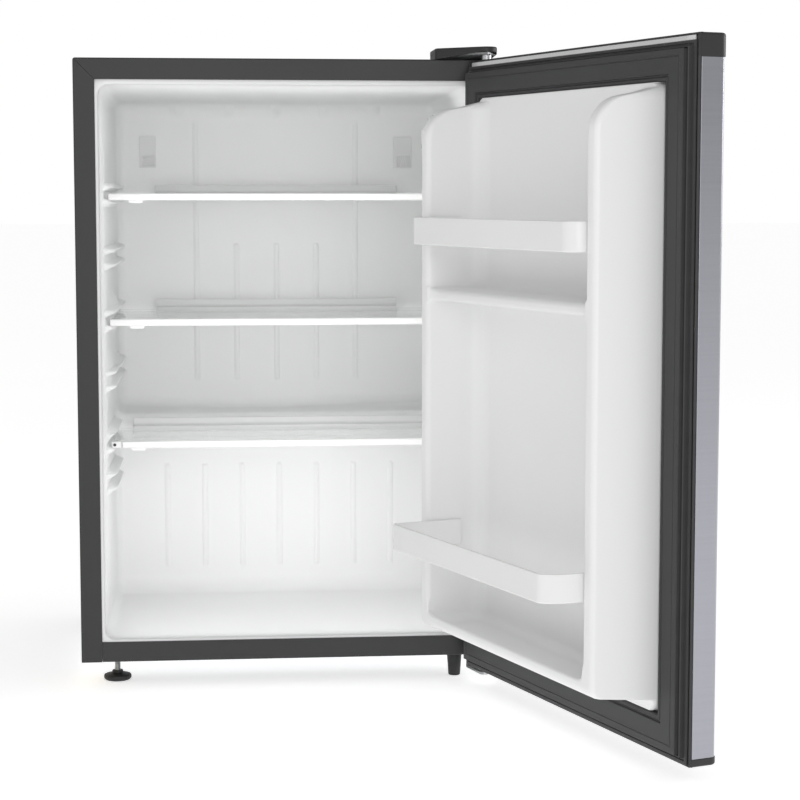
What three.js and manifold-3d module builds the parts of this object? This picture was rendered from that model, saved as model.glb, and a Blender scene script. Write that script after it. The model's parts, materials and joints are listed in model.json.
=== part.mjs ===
// A counter-height mini fridge with one full-height door, three glass shelves and a stainless door skin.
// Millimetres, +Z up. The cabinet faces -Y and the door hangs on its +X side, standing open.
// The model is set up with the cabinet's front face at y = 0, its middle at x = 0 and the floor at z = 0.
// The last lines move it so that the origin is the middle of the whole object's footprint, on the floor.
import * as THREE from 'three';
import { mergeVertices } from 'three/addons/utils/BufferGeometryUtils.js';
import Module from 'manifold-3d';

const wasm = await Module();
wasm.setup();

// --- driving dimensions ---------------------------------------------------------------------------
const CABINET_WIDTH = 548;
const CABINET_HEIGHT = 790;
const CABINET_DEPTH = 462;
const FOOT_HEIGHT = 32;
const SHEET = 0.8; // painted steel and stainless steel sheet
const WALL = 2; // vacuum-formed plastic walls
const GAP = 0.3; // between pieces that meet
const FLANGE = 27.5; // painted frame round the front opening

const CAVITY_HALF_WIDTH = 242.5; // liner opening at the front
const CAVITY_FLOOR = 62;
const CAVITY_CEILING = 788;
const CAVITY_DEPTH = 420;
const CAVITY_RADIUS = 16;
const DRAFT_SIDE = 5.5; // each side wall comes in this much from front to back
const DRAFT_FLOOR = 8;
const DRAFT_CEILING = 7;
const STEP_FRONT = 305; // the raised step in the liner that clears the compressor
const STEP_TOP = 329;
const STEP_RADIUS = 18;
const TROUGH = { front: 396, floor: 321, holeX: -49, holeY: 409, holeRadius: 5 };

const LEVELS = [641.5, 556, 472.5, 391, 306.5, 252]; // underside of a shelf's glass in each pair of ledges
const LEDGE = { proud: 10, tall: 7, slot: 11, front: 122, back: 412 };
const GLASS = { halfWidth: 234, thick: 4, front: 106 };
const TRIM = { halfWidth: 235.5, front: 100, back: 116, below: 2.6, tall: 9.4, radius: 2.5 };
const REAR_TRIM = { halfWidth: 180, deep: 11, below: 2.6, tall: 21 };
const SHELVES = [
  { name: 'upper_shelf', glassUnder: LEVELS[0], back: 400 },
  { name: 'middle_shelf', glassUnder: LEVELS[2], back: 400 },
  { name: 'lower_shelf', glassUnder: LEVELS[4], back: 294 },
];

const BAY_FRONT = 335; // compressor bay behind the step
const BAY_CEILING = 290;
const COMPRESSOR = { x: 62, y: 408, base: 48, radius: 74, squash: 0.8, tall: 146 };

const DOOR_THICK = 37.4; // over the end caps
const SKIN_SET = 3; // the steel face lies this far behind the caps' faces
const DOOR_GAP = 12.7; // cabinet face to the inner face of the closed door
const DOOR_BOTTOM = 22.7;
const DOOR_TOP = 818.8;
const TOP_CAP = 25.6;
const BOTTOM_CAP = 9;
const GASKET = { outset: 8, flange: 5, width: 42, proud: 12.2, flangeProud: 4 };
const LINER_PLATEAU = 15; // the liner inside the gasket stands this proud of the door's inner face
const DYKE = { outer: 52, inner: 74, proud: 94, bottom: 97, top: 754, shoulder: 39 };
const BIN_LIP = { top: 113, thick: 6, floorTop: 101 };
const DOOR_LEDGE = { bottom: 515, top: 529, proud: 88 };
const UPPER_BAR = { proud: 112, bottom: 585, tall: 34, sweepX: 20, sweepY: 20 };
const LOWER_BAR = { proud: 140, bottom: 201, tall: 33, sweepX: 20, sweepY: 46 };
const BAR = { halfWidth: 199.6, thick: 3, legEnd: 48 };

const PIN_INSET = 16.5; // hinge axis, in from the cabinet's side
const PIN_FORWARD = 29.3; // hinge axis, in front of the cabinet's face
const PIN_RADIUS = 4;
const DOOR_OPEN = THREE.MathUtils.degToRad(109);

const ROUND = 16; // sides of small round pieces
const HALF = CABINET_WIDTH / 2;
const TOP = FOOT_HEIGHT + CABINET_HEIGHT;
const DOOR_INNER = -DOOR_GAP; // y of the closed door's inner face
const DOOR_OUTER = -DOOR_GAP - DOOR_THICK;
const PIN_X = HALF - PIN_INSET;
const PIN_Y = -PIN_FORWARD;

// --- materials ------------------------------------------------------------------------------------
const finish = (color, roughness, metalness = 0) => ({ color, roughness, metalness });
const PAINTED = finish(0x4a4a4c, 0.45, 0.2);
const DARK_PLASTIC = finish(0x3c3c3e, 0.5);
const BLACK_PLASTIC = finish(0x1c1c1e, 0.55);
const WHITE_PLASTIC = finish(0xeeeeec, 0.35);
const TRIM_PLASTIC = finish(0xf6f6f4, 0.3);
const STAINLESS = finish(0xa9abb2, 0.32, 1);
const ZINC = finish(0xb4b6b8, 0.4, 1);
const COPPER = finish(0xb87450, 0.35, 1);
const BLACK_STEEL = finish(0x151517, 0.5, 0.3);
const GREY_RUBBER = finish(0x5e5e60, 0.75);
const BLACK_RUBBER = finish(0x1a1a1a, 0.85);
const FOAM = finish(0xe6d39a, 0.95);
const GLASS_FINISH = finish(0xdfeeee, 0.05);
const ALUMINIUM = finish(0xc8cacc, 0.4, 1);

// --- solids ---------------------------------------------------------------------------------------
function toSolid(geometry) {
  const bare = geometry.clone();
  for (const name of Object.keys(bare.attributes)) {
    if (name !== 'position') bare.deleteAttribute(name);
  }
  const merged = mergeVertices(bare, 1e-4);
  return new wasm.Manifold(new wasm.Mesh({
    numProp: 3,
    vertProperties: new Float32Array(merged.attributes.position.array),
    triVerts: new Uint32Array(merged.index.array),
  }));
}

function toGeometry(solid) {
  const mesh = solid.getMesh();
  const geometry = new THREE.BufferGeometry();
  geometry.setAttribute('position', new THREE.BufferAttribute(new Float32Array(mesh.vertProperties), 3));
  geometry.setIndex(new THREE.BufferAttribute(new Uint32Array(mesh.triVerts), 1));
  geometry.computeVertexNormals();
  return geometry;
}

const join = (...solids) => solids.reduce((whole, piece) => whole.add(piece));
const cut = (solid, ...tools) => tools.reduce((rest, tool) => rest.subtract(tool), solid);

function block(x0, x1, y0, y1, z0, z1) {
  const geometry = new THREE.BoxGeometry(x1 - x0, y1 - y0, z1 - z0);
  geometry.translate((x0 + x1) / 2, (y0 + y1) / 2, (z0 + z1) / 2);
  return toSolid(geometry);
}

const extrusion = (shape, depth, curveSegments) =>
  new THREE.ExtrudeGeometry(shape, { depth, bevelEnabled: false, steps: 1, curveSegments });

// A shape drawn in X and Z, carried from y0 to y1.
function alongY(shape, y0, y1, segments = 4) {
  return toSolid(extrusion(shape, y1 - y0, segments).rotateX(Math.PI / 2).translate(0, y1, 0));
}

// A shape drawn in Y and Z, carried from x0 to x1.
function alongX(shape, x0, x1, segments = 4) {
  const turn = new THREE.Matrix4().makeBasis(
    new THREE.Vector3(0, 1, 0), new THREE.Vector3(0, 0, 1), new THREE.Vector3(1, 0, 0));
  return toSolid(extrusion(shape, x1 - x0, segments).applyMatrix4(turn).translate(x0, 0, 0));
}

// A shape drawn in X and Y, carried from z0 to z1.
function alongZ(shape, z0, z1, segments = 4) {
  return toSolid(extrusion(shape, z1 - z0, segments).translate(0, 0, z0));
}

function polygon(points) {
  return new THREE.Shape(points.map(([a, b]) => new THREE.Vector2(a, b)));
}

function roundedRect(x0, x1, y0, y1, radius) {
  const shape = new THREE.Shape();
  shape.moveTo(x0 + radius, y0);
  shape.lineTo(x1 - radius, y0);
  shape.absarc(x1 - radius, y0 + radius, radius, -Math.PI / 2, 0);
  shape.lineTo(x1, y1 - radius);
  shape.absarc(x1 - radius, y1 - radius, radius, 0, Math.PI / 2);
  shape.lineTo(x0 + radius, y1);
  shape.absarc(x0 + radius, y1 - radius, radius, Math.PI / 2, Math.PI);
  shape.lineTo(x0, y0 + radius);
  shape.absarc(x0 + radius, y0 + radius, radius, Math.PI, 1.5 * Math.PI);
  return shape;
}

// A turned solid about a vertical axis: the profile is [radius, z] pairs from the axis back to the axis.
function turned(profile, x, y, sides = ROUND) {
  const points = profile.map(([r, z]) => new THREE.Vector2(r, z));
  return toSolid(new THREE.LatheGeometry(points, sides).rotateX(Math.PI / 2).translate(x, y, 0));
}

const post = (x, y, radius, z0, z1, sides = ROUND) =>
  turned([[0, z0], [radius, z0], [radius, z1], [0, z1]], x, y, sides);

// A round tube's outside along a smooth curve through points.
function pipe(points, radius, steps, sides = 6) {
  const section = new THREE.Shape();
  section.absarc(0, 0, radius, 0, 2 * Math.PI);
  const path = new THREE.CatmullRomCurve3(points.map((p) => new THREE.Vector3(...p)), false, 'centripetal');
  const options = { steps, extrudePath: path, bevelEnabled: false, curveSegments: sides / 2 };
  return toSolid(new THREE.ExtrudeGeometry(section, options));
}

const cabinet = new THREE.Group();
const doorPieces = new THREE.Group();

function add(group, name, solid, look) {
  const mesh = new THREE.Mesh(toGeometry(solid), new THREE.MeshStandardMaterial(look));
  mesh.name = name;
  group.add(mesh);
}

// --- cabinet shell --------------------------------------------------------------------------------
// The wrapper is one sheet bent over the top and both sides, with a mitred frame folded in at the front.
const wrapperBack = CABINET_DEPTH + SHEET;
const bentSheet = polygon([
  [-HALF, FOOT_HEIGHT], [-HALF + SHEET, FOOT_HEIGHT], [-HALF + SHEET, TOP - SHEET],
  [HALF - SHEET, TOP - SHEET], [HALF - SHEET, FOOT_HEIGHT], [HALF, FOOT_HEIGHT], [HALF, TOP], [-HALF, TOP],
]);
const frontFrame = polygon([
  [-HALF, FOOT_HEIGHT], [-HALF + FLANGE, FOOT_HEIGHT], [-HALF + FLANGE, TOP - FLANGE],
  [HALF - FLANGE, TOP - FLANGE], [HALF - FLANGE, FOOT_HEIGHT], [HALF, FOOT_HEIGHT], [HALF, TOP], [-HALF, TOP],
]);
add(cabinet, 'cabinet_wrapper',
  join(alongY(bentSheet, 0, wrapperBack), alongY(frontFrame, 0, SHEET)), PAINTED);

// The bottom rail closes the frame between the side flanges and turns back under the cabinet.
const RAIL_DEPTH = 64;
const RAIL_TOP = FOOT_HEIGHT + 27;
const railHalf = HALF - FLANGE - GAP;
const LEVELLING_FOOT = { x: -228.5, y: 40, discRadius: 18.5, discTop: 13, stemRadius: 4 };
const railSection = polygon([
  [0, FOOT_HEIGHT], [RAIL_DEPTH, FOOT_HEIGHT], [RAIL_DEPTH, FOOT_HEIGHT + SHEET],
  [SHEET, FOOT_HEIGHT + SHEET], [SHEET, RAIL_TOP], [0, RAIL_TOP],
]);
const stemHole = post(LEVELLING_FOOT.x, LEVELLING_FOOT.y, LEVELLING_FOOT.stemRadius + 1, 20, 50);
add(cabinet, 'bottom_rail', cut(alongX(railSection, -railHalf, railHalf), stemHole), PAINTED);

const panelHalf = HALF - SHEET - GAP;
add(cabinet, 'floor_panel',
  block(-panelHalf, panelHalf, RAIL_DEPTH + GAP, BAY_FRONT - 1, FOOT_HEIGHT, FOOT_HEIGHT + SHEET), ZINC);

// The bay panel is one bent sheet: up behind the step, then back over the compressor.
const baySheet = polygon([
  [BAY_FRONT, FOOT_HEIGHT], [BAY_FRONT + SHEET, FOOT_HEIGHT], [BAY_FRONT + SHEET, BAY_CEILING - SHEET],
  [CABINET_DEPTH - GAP, BAY_CEILING - SHEET], [CABINET_DEPTH - GAP, BAY_CEILING], [BAY_FRONT, BAY_CEILING],
]);
const drainHole = post(TROUGH.holeX, TROUGH.holeY, 9, 200, TROUGH.floor);
add(cabinet, 'bay_panel', cut(alongX(baySheet, -panelHalf, panelHalf), drainHole), ZINC);

add(cabinet, 'rear_panel',
  block(-panelHalf, panelHalf, CABINET_DEPTH, CABINET_DEPTH + SHEET, BAY_CEILING - SHEET, TOP - SHEET - GAP),
  PAINTED);

// The base pan spans the back of the cabinet under the compressor, with its rear edge turned up.
const BASE_PAN_BACK = 476;
const panSection = polygon([
  [BAY_FRONT + SHEET + GAP, FOOT_HEIGHT], [BASE_PAN_BACK, FOOT_HEIGHT], [BASE_PAN_BACK, FOOT_HEIGHT + 14],
  [BASE_PAN_BACK - 1.2, FOOT_HEIGHT + 14], [BASE_PAN_BACK - 1.2, FOOT_HEIGHT + 1.2],
  [BAY_FRONT + SHEET + GAP, FOOT_HEIGHT + 1.2],
]);
add(cabinet, 'base_pan', alongX(panSection, -panelHalf, panelHalf), PAINTED);

// --- liner and insulation -------------------------------------------------------------------------
// The food space, grown outwards by an offset. Its walls draw in towards the back.
function cavity(offset) {
  const shape = roundedRect(-CAVITY_HALF_WIDTH - offset, CAVITY_HALF_WIDTH + offset,
    CAVITY_FLOOR - offset, CAVITY_CEILING + offset, CAVITY_RADIUS + offset);
  const front = 0;
  const back = CAVITY_DEPTH + offset;
  const geometry = extrusion(shape, back - front, 3).rotateX(Math.PI / 2).translate(0, back, 0);
  const position = geometry.attributes.position;
  const middle = (CAVITY_FLOOR + CAVITY_CEILING) / 2;
  for (let i = 0; i < position.count; i += 1) {
    const share = position.getY(i) > CAVITY_DEPTH / 2 ? 1 : 0;
    const x = position.getX(i);
    const z = position.getZ(i);
    position.setX(i, x - Math.sign(x) * DRAFT_SIDE * share);
    position.setZ(i, z < middle ? z + DRAFT_FLOOR * share : z - DRAFT_CEILING * share);
  }
  const step = new THREE.Shape();
  step.moveTo(STEP_FRONT + offset, 0);
  step.lineTo(STEP_FRONT + offset, STEP_TOP - offset - STEP_RADIUS);
  step.absarc(STEP_FRONT + offset + STEP_RADIUS, STEP_TOP - offset - STEP_RADIUS, STEP_RADIUS,
    Math.PI, Math.PI / 2, true);
  step.lineTo(TROUGH.front - offset, STEP_TOP - offset);
  step.lineTo(TROUGH.front - offset, TROUGH.floor - offset);
  step.lineTo(CAVITY_DEPTH + 10, TROUGH.floor - offset);
  step.lineTo(CAVITY_DEPTH + 10, 0);
  return cut(toSolid(geometry), alongX(step, -HALF, HALF, 4));
}

// Two ledges stand out of each side wall at every level, and a shelf's edge slides in between them.
function ledges() {
  const bars = [];
  for (const level of LEVELS) {
    const back = level < STEP_TOP ? STEP_FRONT - 2 : LEDGE.back;
    for (const top of [level - GAP, level + LEDGE.slot + LEDGE.tall]) {
      for (const side of [-1, 1]) {
        const root = side * (CAVITY_HALF_WIDTH + 1);
        const edge = side * (CAVITY_HALF_WIDTH - LEDGE.proud);
        const foot = [[root, top - LEDGE.tall - 1], [edge, top - LEDGE.tall + 1.5], [edge, top - 1.5], [root, top + 1]];
        bars.push(alongY(polygon(side > 0 ? foot.reverse() : foot), LEDGE.front, back));
      }
    }
  }
  return join(...bars);
}

const rim = alongY(roundedRect(-HALF + FLANGE - 4, HALF - FLANGE + 4, CAVITY_FLOOR - 6, CAVITY_CEILING + 6, 14),
  SHEET + GAP, SHEET + GAP + WALL, 3);
const trimmedFront = block(-HALF, HALF, -5, SHEET + GAP, 0, TOP);
const linerHole = post(TROUGH.holeX, TROUGH.holeY, TROUGH.holeRadius, TROUGH.floor - 8, TROUGH.floor + 4);
const linerShell = cut(join(cavity(WALL), rim, ledges().intersect(cavity(WALL - 0.5))), trimmedFront);
const airSpace = cut(cavity(0), ledges());
add(cabinet, 'inner_liner', cut(linerShell, airSpace, linerHole), WHITE_PLASTIC);

const EVAPORATOR = { halfWidth: 165, bottom: 356, top: 764, thick: 1.5 };
const evaporatorFront = CAVITY_DEPTH + WALL + GAP;
add(cabinet, 'evaporator_plate',
  block(-EVAPORATOR.halfWidth, EVAPORATOR.halfWidth, evaporatorFront, evaporatorFront + EVAPORATOR.thick,
    EVAPORATOR.bottom, EVAPORATOR.top), ALUMINIUM);

const foamBlock = block(-panelHalf, panelHalf, SHEET + WALL + 2 * GAP + 0.5, CABINET_DEPTH - GAP,
  FOOT_HEIGHT + SHEET + GAP, TOP - SHEET - GAP);
const bayRoom = block(-HALF, HALF, BAY_FRONT - GAP, CABINET_DEPTH + 10, 0, BAY_CEILING + GAP);
const evaporatorRoom = block(-EVAPORATOR.halfWidth - GAP, EVAPORATOR.halfWidth + GAP,
  CAVITY_DEPTH, evaporatorFront + EVAPORATOR.thick + GAP, EVAPORATOR.bottom - GAP, EVAPORATOR.top + GAP);
const stemRoom = post(LEVELLING_FOOT.x, LEVELLING_FOOT.y, LEVELLING_FOOT.stemRadius + 3, 0, 48);
add(cabinet, 'foam_insulation',
  cut(foamBlock, cavity(WALL + GAP), bayRoom, evaporatorRoom, drainHole, stemRoom), FOAM);

// The drain tube carries melt water from the trough to the pan on the compressor.
const drainTube = cut(post(TROUGH.holeX, TROUGH.holeY, 8, 232, TROUGH.floor - WALL - 2 * GAP),
  post(TROUGH.holeX, TROUGH.holeY, 6, 230, TROUGH.floor));
add(cabinet, 'drain_tube', drainTube, WHITE_PLASTIC);

// --- cold machine ---------------------------------------------------------------------------------
const shellBase = COMPRESSOR.base;
const shellTop = shellBase + COMPRESSOR.tall;
const shellProfile = [
  [0, shellBase], [0.62, shellBase + 4], [0.9, shellBase + 22], [0.98, shellBase + 60], [1, shellBase + 84],
  [1.03, shellBase + 86], [1.03, shellBase + 90], [1, shellBase + 92], [0.94, shellBase + 118],
  [0.7, shellBase + 138], [0, shellTop],
].map(([share, z]) => [share * COMPRESSOR.radius, z]);
const shell = toSolid(new THREE.LatheGeometry(shellProfile.map(([r, z]) => new THREE.Vector2(r, z)), 24)
  .rotateX(Math.PI / 2).scale(1, COMPRESSOR.squash, 1).translate(COMPRESSOR.x, COMPRESSOR.y, 0));
const FOOT_BAR = { halfLength: 98, halfWidth: 13, spread: 38, thick: 3 };
const footBars = [-1, 1].map((side) => block(
  COMPRESSOR.x - FOOT_BAR.halfLength, COMPRESSOR.x + FOOT_BAR.halfLength,
  COMPRESSOR.y + side * FOOT_BAR.spread - FOOT_BAR.halfWidth,
  COMPRESSOR.y + side * FOOT_BAR.spread + FOOT_BAR.halfWidth,
  shellBase + 2, shellBase + 2 + FOOT_BAR.thick));
add(cabinet, 'compressor', join(shell, ...footBars), BLACK_STEEL);

let grommetNumber = 0;
for (const sideX of [-1, 1]) {
  for (const sideY of [-1, 1]) {
    grommetNumber += 1;
    const x = COMPRESSOR.x + sideX * (FOOT_BAR.halfLength - 12);
    const y = COMPRESSOR.y + sideY * FOOT_BAR.spread;
    const low = FOOT_HEIGHT + 1.2 + GAP;
    const high = shellBase + 2 - GAP;
    add(cabinet, `compressor_grommet_${grommetNumber}`,
      turned([[0, low], [11, low], [11, low + 4], [8, low + 7], [10, high], [0, high]], x, y, 12), BLACK_RUBBER);
  }
}

const relayX = COMPRESSOR.x + COMPRESSOR.radius * 1.03 + GAP;
add(cabinet, 'relay_cover',
  alongX(roundedRect(COMPRESSOR.y - 24, COMPRESSOR.y + 24, 96, 152, 6), relayX, relayX + 36, 2), BLACK_PLASTIC);

// The drip pan is a shallow open tray that the compressor warms from below.
const PAN = { x0: -78, x1: 122, y0: 352, y1: 454, bottom: shellTop + 1, tall: 24 };
add(cabinet, 'drip_pan', cut(
  alongZ(roundedRect(PAN.x0, PAN.x1, PAN.y0, PAN.y1, 12), PAN.bottom, PAN.bottom + PAN.tall, 2),
  alongZ(roundedRect(PAN.x0 + WALL, PAN.x1 - WALL, PAN.y0 + WALL, PAN.y1 - WALL, 10),
    PAN.bottom + WALL, PAN.bottom + PAN.tall + 5, 2)), BLACK_PLASTIC);

add(cabinet, 'filter_drier', turned([
  [0, 96], [3, 96], [3, 106], [10, 116], [10, 196], [3, 206], [3, 218], [0, 218],
], -150, 400, 12), COPPER);

const compressorLeft = COMPRESSOR.x - COMPRESSOR.radius;
add(cabinet, 'suction_line', pipe([
  [compressorLeft - 3, 396, 120], [compressorLeft - 24, 392, 124], [-60, 388, 150], [-104, 392, 176],
  [-112, 396, 236], [-112, 400, 284],
], 4, 18), COPPER);
add(cabinet, 'discharge_line', pipe([
  [compressorLeft - 2, 424, 96], [compressorLeft - 26, 430, 90], [-110, 440, 84], [-176, 452, 96],
  [-196, 462, 170], [-200, 470, 262],
], 3, 18), COPPER);

// The condenser is one serpentine of steel tube held off the rear panel by two hooked rails.
const COIL = { y: 474, radius: 2.5, half: 196, bottom: 318, pitch: 48, runs: 10 };
const coilParts = [];
for (let run = 0; run < COIL.runs; run += 1) {
  const z = COIL.bottom + run * COIL.pitch;
  const straightHalf = COIL.half + 0.2;
  coilParts.push(block(-straightHalf, straightHalf, COIL.y - COIL.radius, COIL.y + COIL.radius,
    z - COIL.radius, z + COIL.radius));
  if (run < COIL.runs - 1) {
    const side = run % 2 === 0 ? 1 : -1;
    const bend = new THREE.Shape();
    const from = -Math.PI / 2;
    const turn = side * Math.PI;
    bend.absarc(side * COIL.half, z + COIL.pitch / 2, COIL.pitch / 2 + COIL.radius, from, from + turn, side < 0);
    bend.absarc(side * COIL.half, z + COIL.pitch / 2, COIL.pitch / 2 - COIL.radius, from + turn, from, side > 0);
    coilParts.push(alongY(bend, COIL.y - COIL.radius, COIL.y + COIL.radius, 4));
  }
}
add(cabinet, 'condenser_coil', join(...coilParts), BLACK_STEEL);

const coilTop = COIL.bottom + (COIL.runs - 1) * COIL.pitch;
for (const [name, x] of [['condenser_rail_left', -150], ['condenser_rail_right', 150]]) {
  add(cabinet, name,
    block(x - 7, x + 7, CABINET_DEPTH + SHEET + GAP, COIL.y - COIL.radius - GAP, COIL.bottom - 14, coilTop + 14),
    BLACK_STEEL);
}

add(cabinet, 'cord_gland', toSolid(new THREE.LatheGeometry([
  [0, 0], [11, 0], [11, 3], [7, 4], [6, 14], [0, 14],
].map(([r, d]) => new THREE.Vector2(r, d)), 12).translate(-226, BASE_PAN_BACK + GAP, FOOT_HEIGHT + 12)),
BLACK_RUBBER);

// --- feet -----------------------------------------------------------------------------------------
const fixedFootTop = FOOT_HEIGHT - GAP;
add(cabinet, 'front_right_foot',
  turned([[0, 0], [8, 0], [10, fixedFootTop], [0, fixedFootTop]], 224, 24, 12), BLACK_PLASTIC);
for (const [name, x] of [['rear_left_foot', -236], ['rear_right_foot', 236]]) {
  add(cabinet, name,
    turned([[0, 0], [11, 0], [13, 3], [13, fixedFootTop], [0, fixedFootTop]], x, 446, 12), BLACK_PLASTIC);
}
add(cabinet, 'levelling_foot', turned([
  [0, 0], [LEVELLING_FOOT.discRadius - 2, 0], [LEVELLING_FOOT.discRadius, 3],
  [LEVELLING_FOOT.discRadius - 1, 9], [8, LEVELLING_FOOT.discTop],
  [LEVELLING_FOOT.stemRadius, LEVELLING_FOOT.discTop], [LEVELLING_FOOT.stemRadius, 36], [0, 36],
], LEVELLING_FOOT.x, LEVELLING_FOOT.y, 20), BLACK_PLASTIC);

// --- hinges ---------------------------------------------------------------------------------------
// The top bracket is screwed to the cabinet and joggles up to reach over the door.
const TOP_HINGE = { left: 194, right: 271, back: 62, front: -44, plate: 3, seat: TOP + GAP, arm: TOP + 4.3 };
function hingePlan(left, right, back, nose) {
  const shape = new THREE.Shape();
  shape.moveTo(left, back);
  shape.lineTo(left, 2);
  shape.lineTo(PIN_X - nose * 0.62, PIN_Y - nose * 0.78);
  shape.absarc(PIN_X, PIN_Y, nose, -0.72 * Math.PI, 0);
  shape.lineTo(right, back);
  return shape;
}
const bracketSection = polygon([
  [TOP_HINGE.back, TOP_HINGE.seat], [TOP_HINGE.back, TOP_HINGE.seat + TOP_HINGE.plate],
  [6, TOP_HINGE.seat + TOP_HINGE.plate], [0, TOP_HINGE.arm + TOP_HINGE.plate],
  [TOP_HINGE.front, TOP_HINGE.arm + TOP_HINGE.plate], [TOP_HINGE.front, TOP_HINGE.arm],
  [-2, TOP_HINGE.arm], [4, TOP_HINGE.seat],
].reverse());
const bracketPlan = alongZ(hingePlan(TOP_HINGE.left + 2, PIN_X + 12, TOP_HINGE.back, 12), TOP - 5, TOP + 20);
const pinHole = post(PIN_X, PIN_Y, PIN_RADIUS + GAP, TOP - 40, TOP + 20);
add(cabinet, 'top_hinge_bracket',
  cut(alongX(bracketSection, TOP_HINGE.left, TOP_HINGE.right).intersect(bracketPlan), pinHole), ZINC);

const coverLow = TOP_HINGE.arm + TOP_HINGE.plate + GAP;
const COVER_TOP = TOP + 14.5;
const coverPlan = hingePlan(TOP_HINGE.left, PIN_X + 13.5, TOP_HINGE.back + 2, 13.5);
const coverRoom = join(block(TOP_HINGE.left + 1.7, PIN_X + 12.3, 7, TOP_HINGE.back + GAP, TOP, COVER_TOP - 2.5),
  block(TOP_HINGE.left - 1, PIN_X + 14, 7, TOP_HINGE.back + 3, TOP - 1, TOP_HINGE.seat));
const coverSkirt = alongZ(coverPlan, TOP + GAP, COVER_TOP, 5);
const armRoom = block(TOP_HINGE.left - 1, PIN_X + 14, TOP_HINGE.front - 2, 7.5, TOP - 1, coverLow);
add(cabinet, 'top_hinge_cover', cut(coverSkirt, coverRoom, armRoom), DARK_PLASTIC);

add(cabinet, 'top_hinge_pin', turned([
  [0, DOOR_TOP - 16], [PIN_RADIUS, DOOR_TOP - 16], [PIN_RADIUS, DOOR_TOP + 0.6], [6.4, DOOR_TOP + 0.6],
  [6.4, TOP_HINGE.arm - GAP], [PIN_RADIUS, TOP_HINGE.arm - GAP], [PIN_RADIUS, TOP_HINGE.arm + TOP_HINGE.plate - 0.2],
  [0, TOP_HINGE.arm + TOP_HINGE.plate - 0.2],
], PIN_X, PIN_Y), ZINC);

const screwSeat = TOP_HINGE.seat + TOP_HINGE.plate + GAP;
[[214, 40], [246, 28]].forEach(([x, y], index) => {
  add(cabinet, `top_hinge_screw_${index + 1}`, turned([
    [0, screwSeat], [5.5, screwSeat], [5, screwSeat + 2], [3, screwSeat + 3.2], [0, screwSeat + 3.4],
  ], x, y, 12), ZINC);
});

// The bottom bracket drops below the cabinet and carries the door's weight on its pin.
const LOW_HINGE = { left: 238, right: 271, back: 60, shelf: 14.5, plate: 3 };
const seatLow = FOOT_HEIGHT - GAP;
const lowSection = polygon([
  [-44, LOW_HINGE.shelf], [8, LOW_HINGE.shelf], [8, seatLow - LOW_HINGE.plate],
  [LOW_HINGE.back, seatLow - LOW_HINGE.plate], [LOW_HINGE.back, seatLow], [5, seatLow],
  [5, LOW_HINGE.shelf + LOW_HINGE.plate], [-44, LOW_HINGE.shelf + LOW_HINGE.plate],
]);
const lowPlan = alongZ(hingePlan(LOW_HINGE.left, PIN_X + 12, LOW_HINGE.back, 12), 0, FOOT_HEIGHT);
const lowPinHole = post(PIN_X, PIN_Y, PIN_RADIUS + GAP, 0, FOOT_HEIGHT);
add(cabinet, 'bottom_hinge_bracket',
  cut(alongX(lowSection, LOW_HINGE.left, LOW_HINGE.right).intersect(lowPlan), lowPinHole), ZINC);
add(cabinet, 'bottom_hinge_pin', turned([
  [0, LOW_HINGE.shelf - 2.5], [6, LOW_HINGE.shelf - 2.5], [6, LOW_HINGE.shelf - GAP],
  [PIN_RADIUS, LOW_HINGE.shelf - GAP], [PIN_RADIUS, LOW_HINGE.shelf + LOW_HINGE.plate + GAP],
  [7, LOW_HINGE.shelf + LOW_HINGE.plate + GAP], [7, DOOR_BOTTOM - 0.6], [PIN_RADIUS, DOOR_BOTTOM - 0.6],
  [PIN_RADIUS, DOOR_BOTTOM + 8], [0, DOOR_BOTTOM + 8],
], PIN_X, PIN_Y), ZINC);
const lowScrewTop = seatLow - LOW_HINGE.plate - GAP;
[22, 46].forEach((y, index) => {
  add(cabinet, `bottom_hinge_screw_${index + 1}`, turned([
    [0, lowScrewTop - 3.4], [3, lowScrewTop - 3.2], [5, lowScrewTop - 2], [5.5, lowScrewTop], [0, lowScrewTop],
  ], 255, y, 12), ZINC);
});

// --- thermostat -----------------------------------------------------------------------------------
const THERMOSTAT = { face: 212, wall: 236.5, y0: 150, y1: 262, z0: 690, z1: 758, knobRadius: 17, knobDeep: 14 };
const KNOB = { y: 206, z: 724 };
add(cabinet, 'thermostat_housing',
  alongX(roundedRect(THERMOSTAT.y0, THERMOSTAT.y1, THERMOSTAT.z0, THERMOSTAT.z1, 12),
    THERMOSTAT.face, THERMOSTAT.wall, 3), WHITE_PLASTIC);
const knobTurn = new THREE.Matrix4().makeBasis(
  new THREE.Vector3(0, 0, 1), new THREE.Vector3(-1, 0, 0), new THREE.Vector3(0, -1, 0));
const knobBody = new THREE.LatheGeometry([
  [0, 0], [THERMOSTAT.knobRadius, 0], [THERMOSTAT.knobRadius, 4], [THERMOSTAT.knobRadius - 2, 11],
  [THERMOSTAT.knobRadius - 4, THERMOSTAT.knobDeep], [0, THERMOSTAT.knobDeep],
].map(([r, d]) => new THREE.Vector2(r, d)), 20).applyMatrix4(knobTurn)
  .translate(THERMOSTAT.face - GAP, KNOB.y, KNOB.z);
add(cabinet, 'thermostat_knob', toSolid(knobBody), WHITE_PLASTIC);

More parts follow.
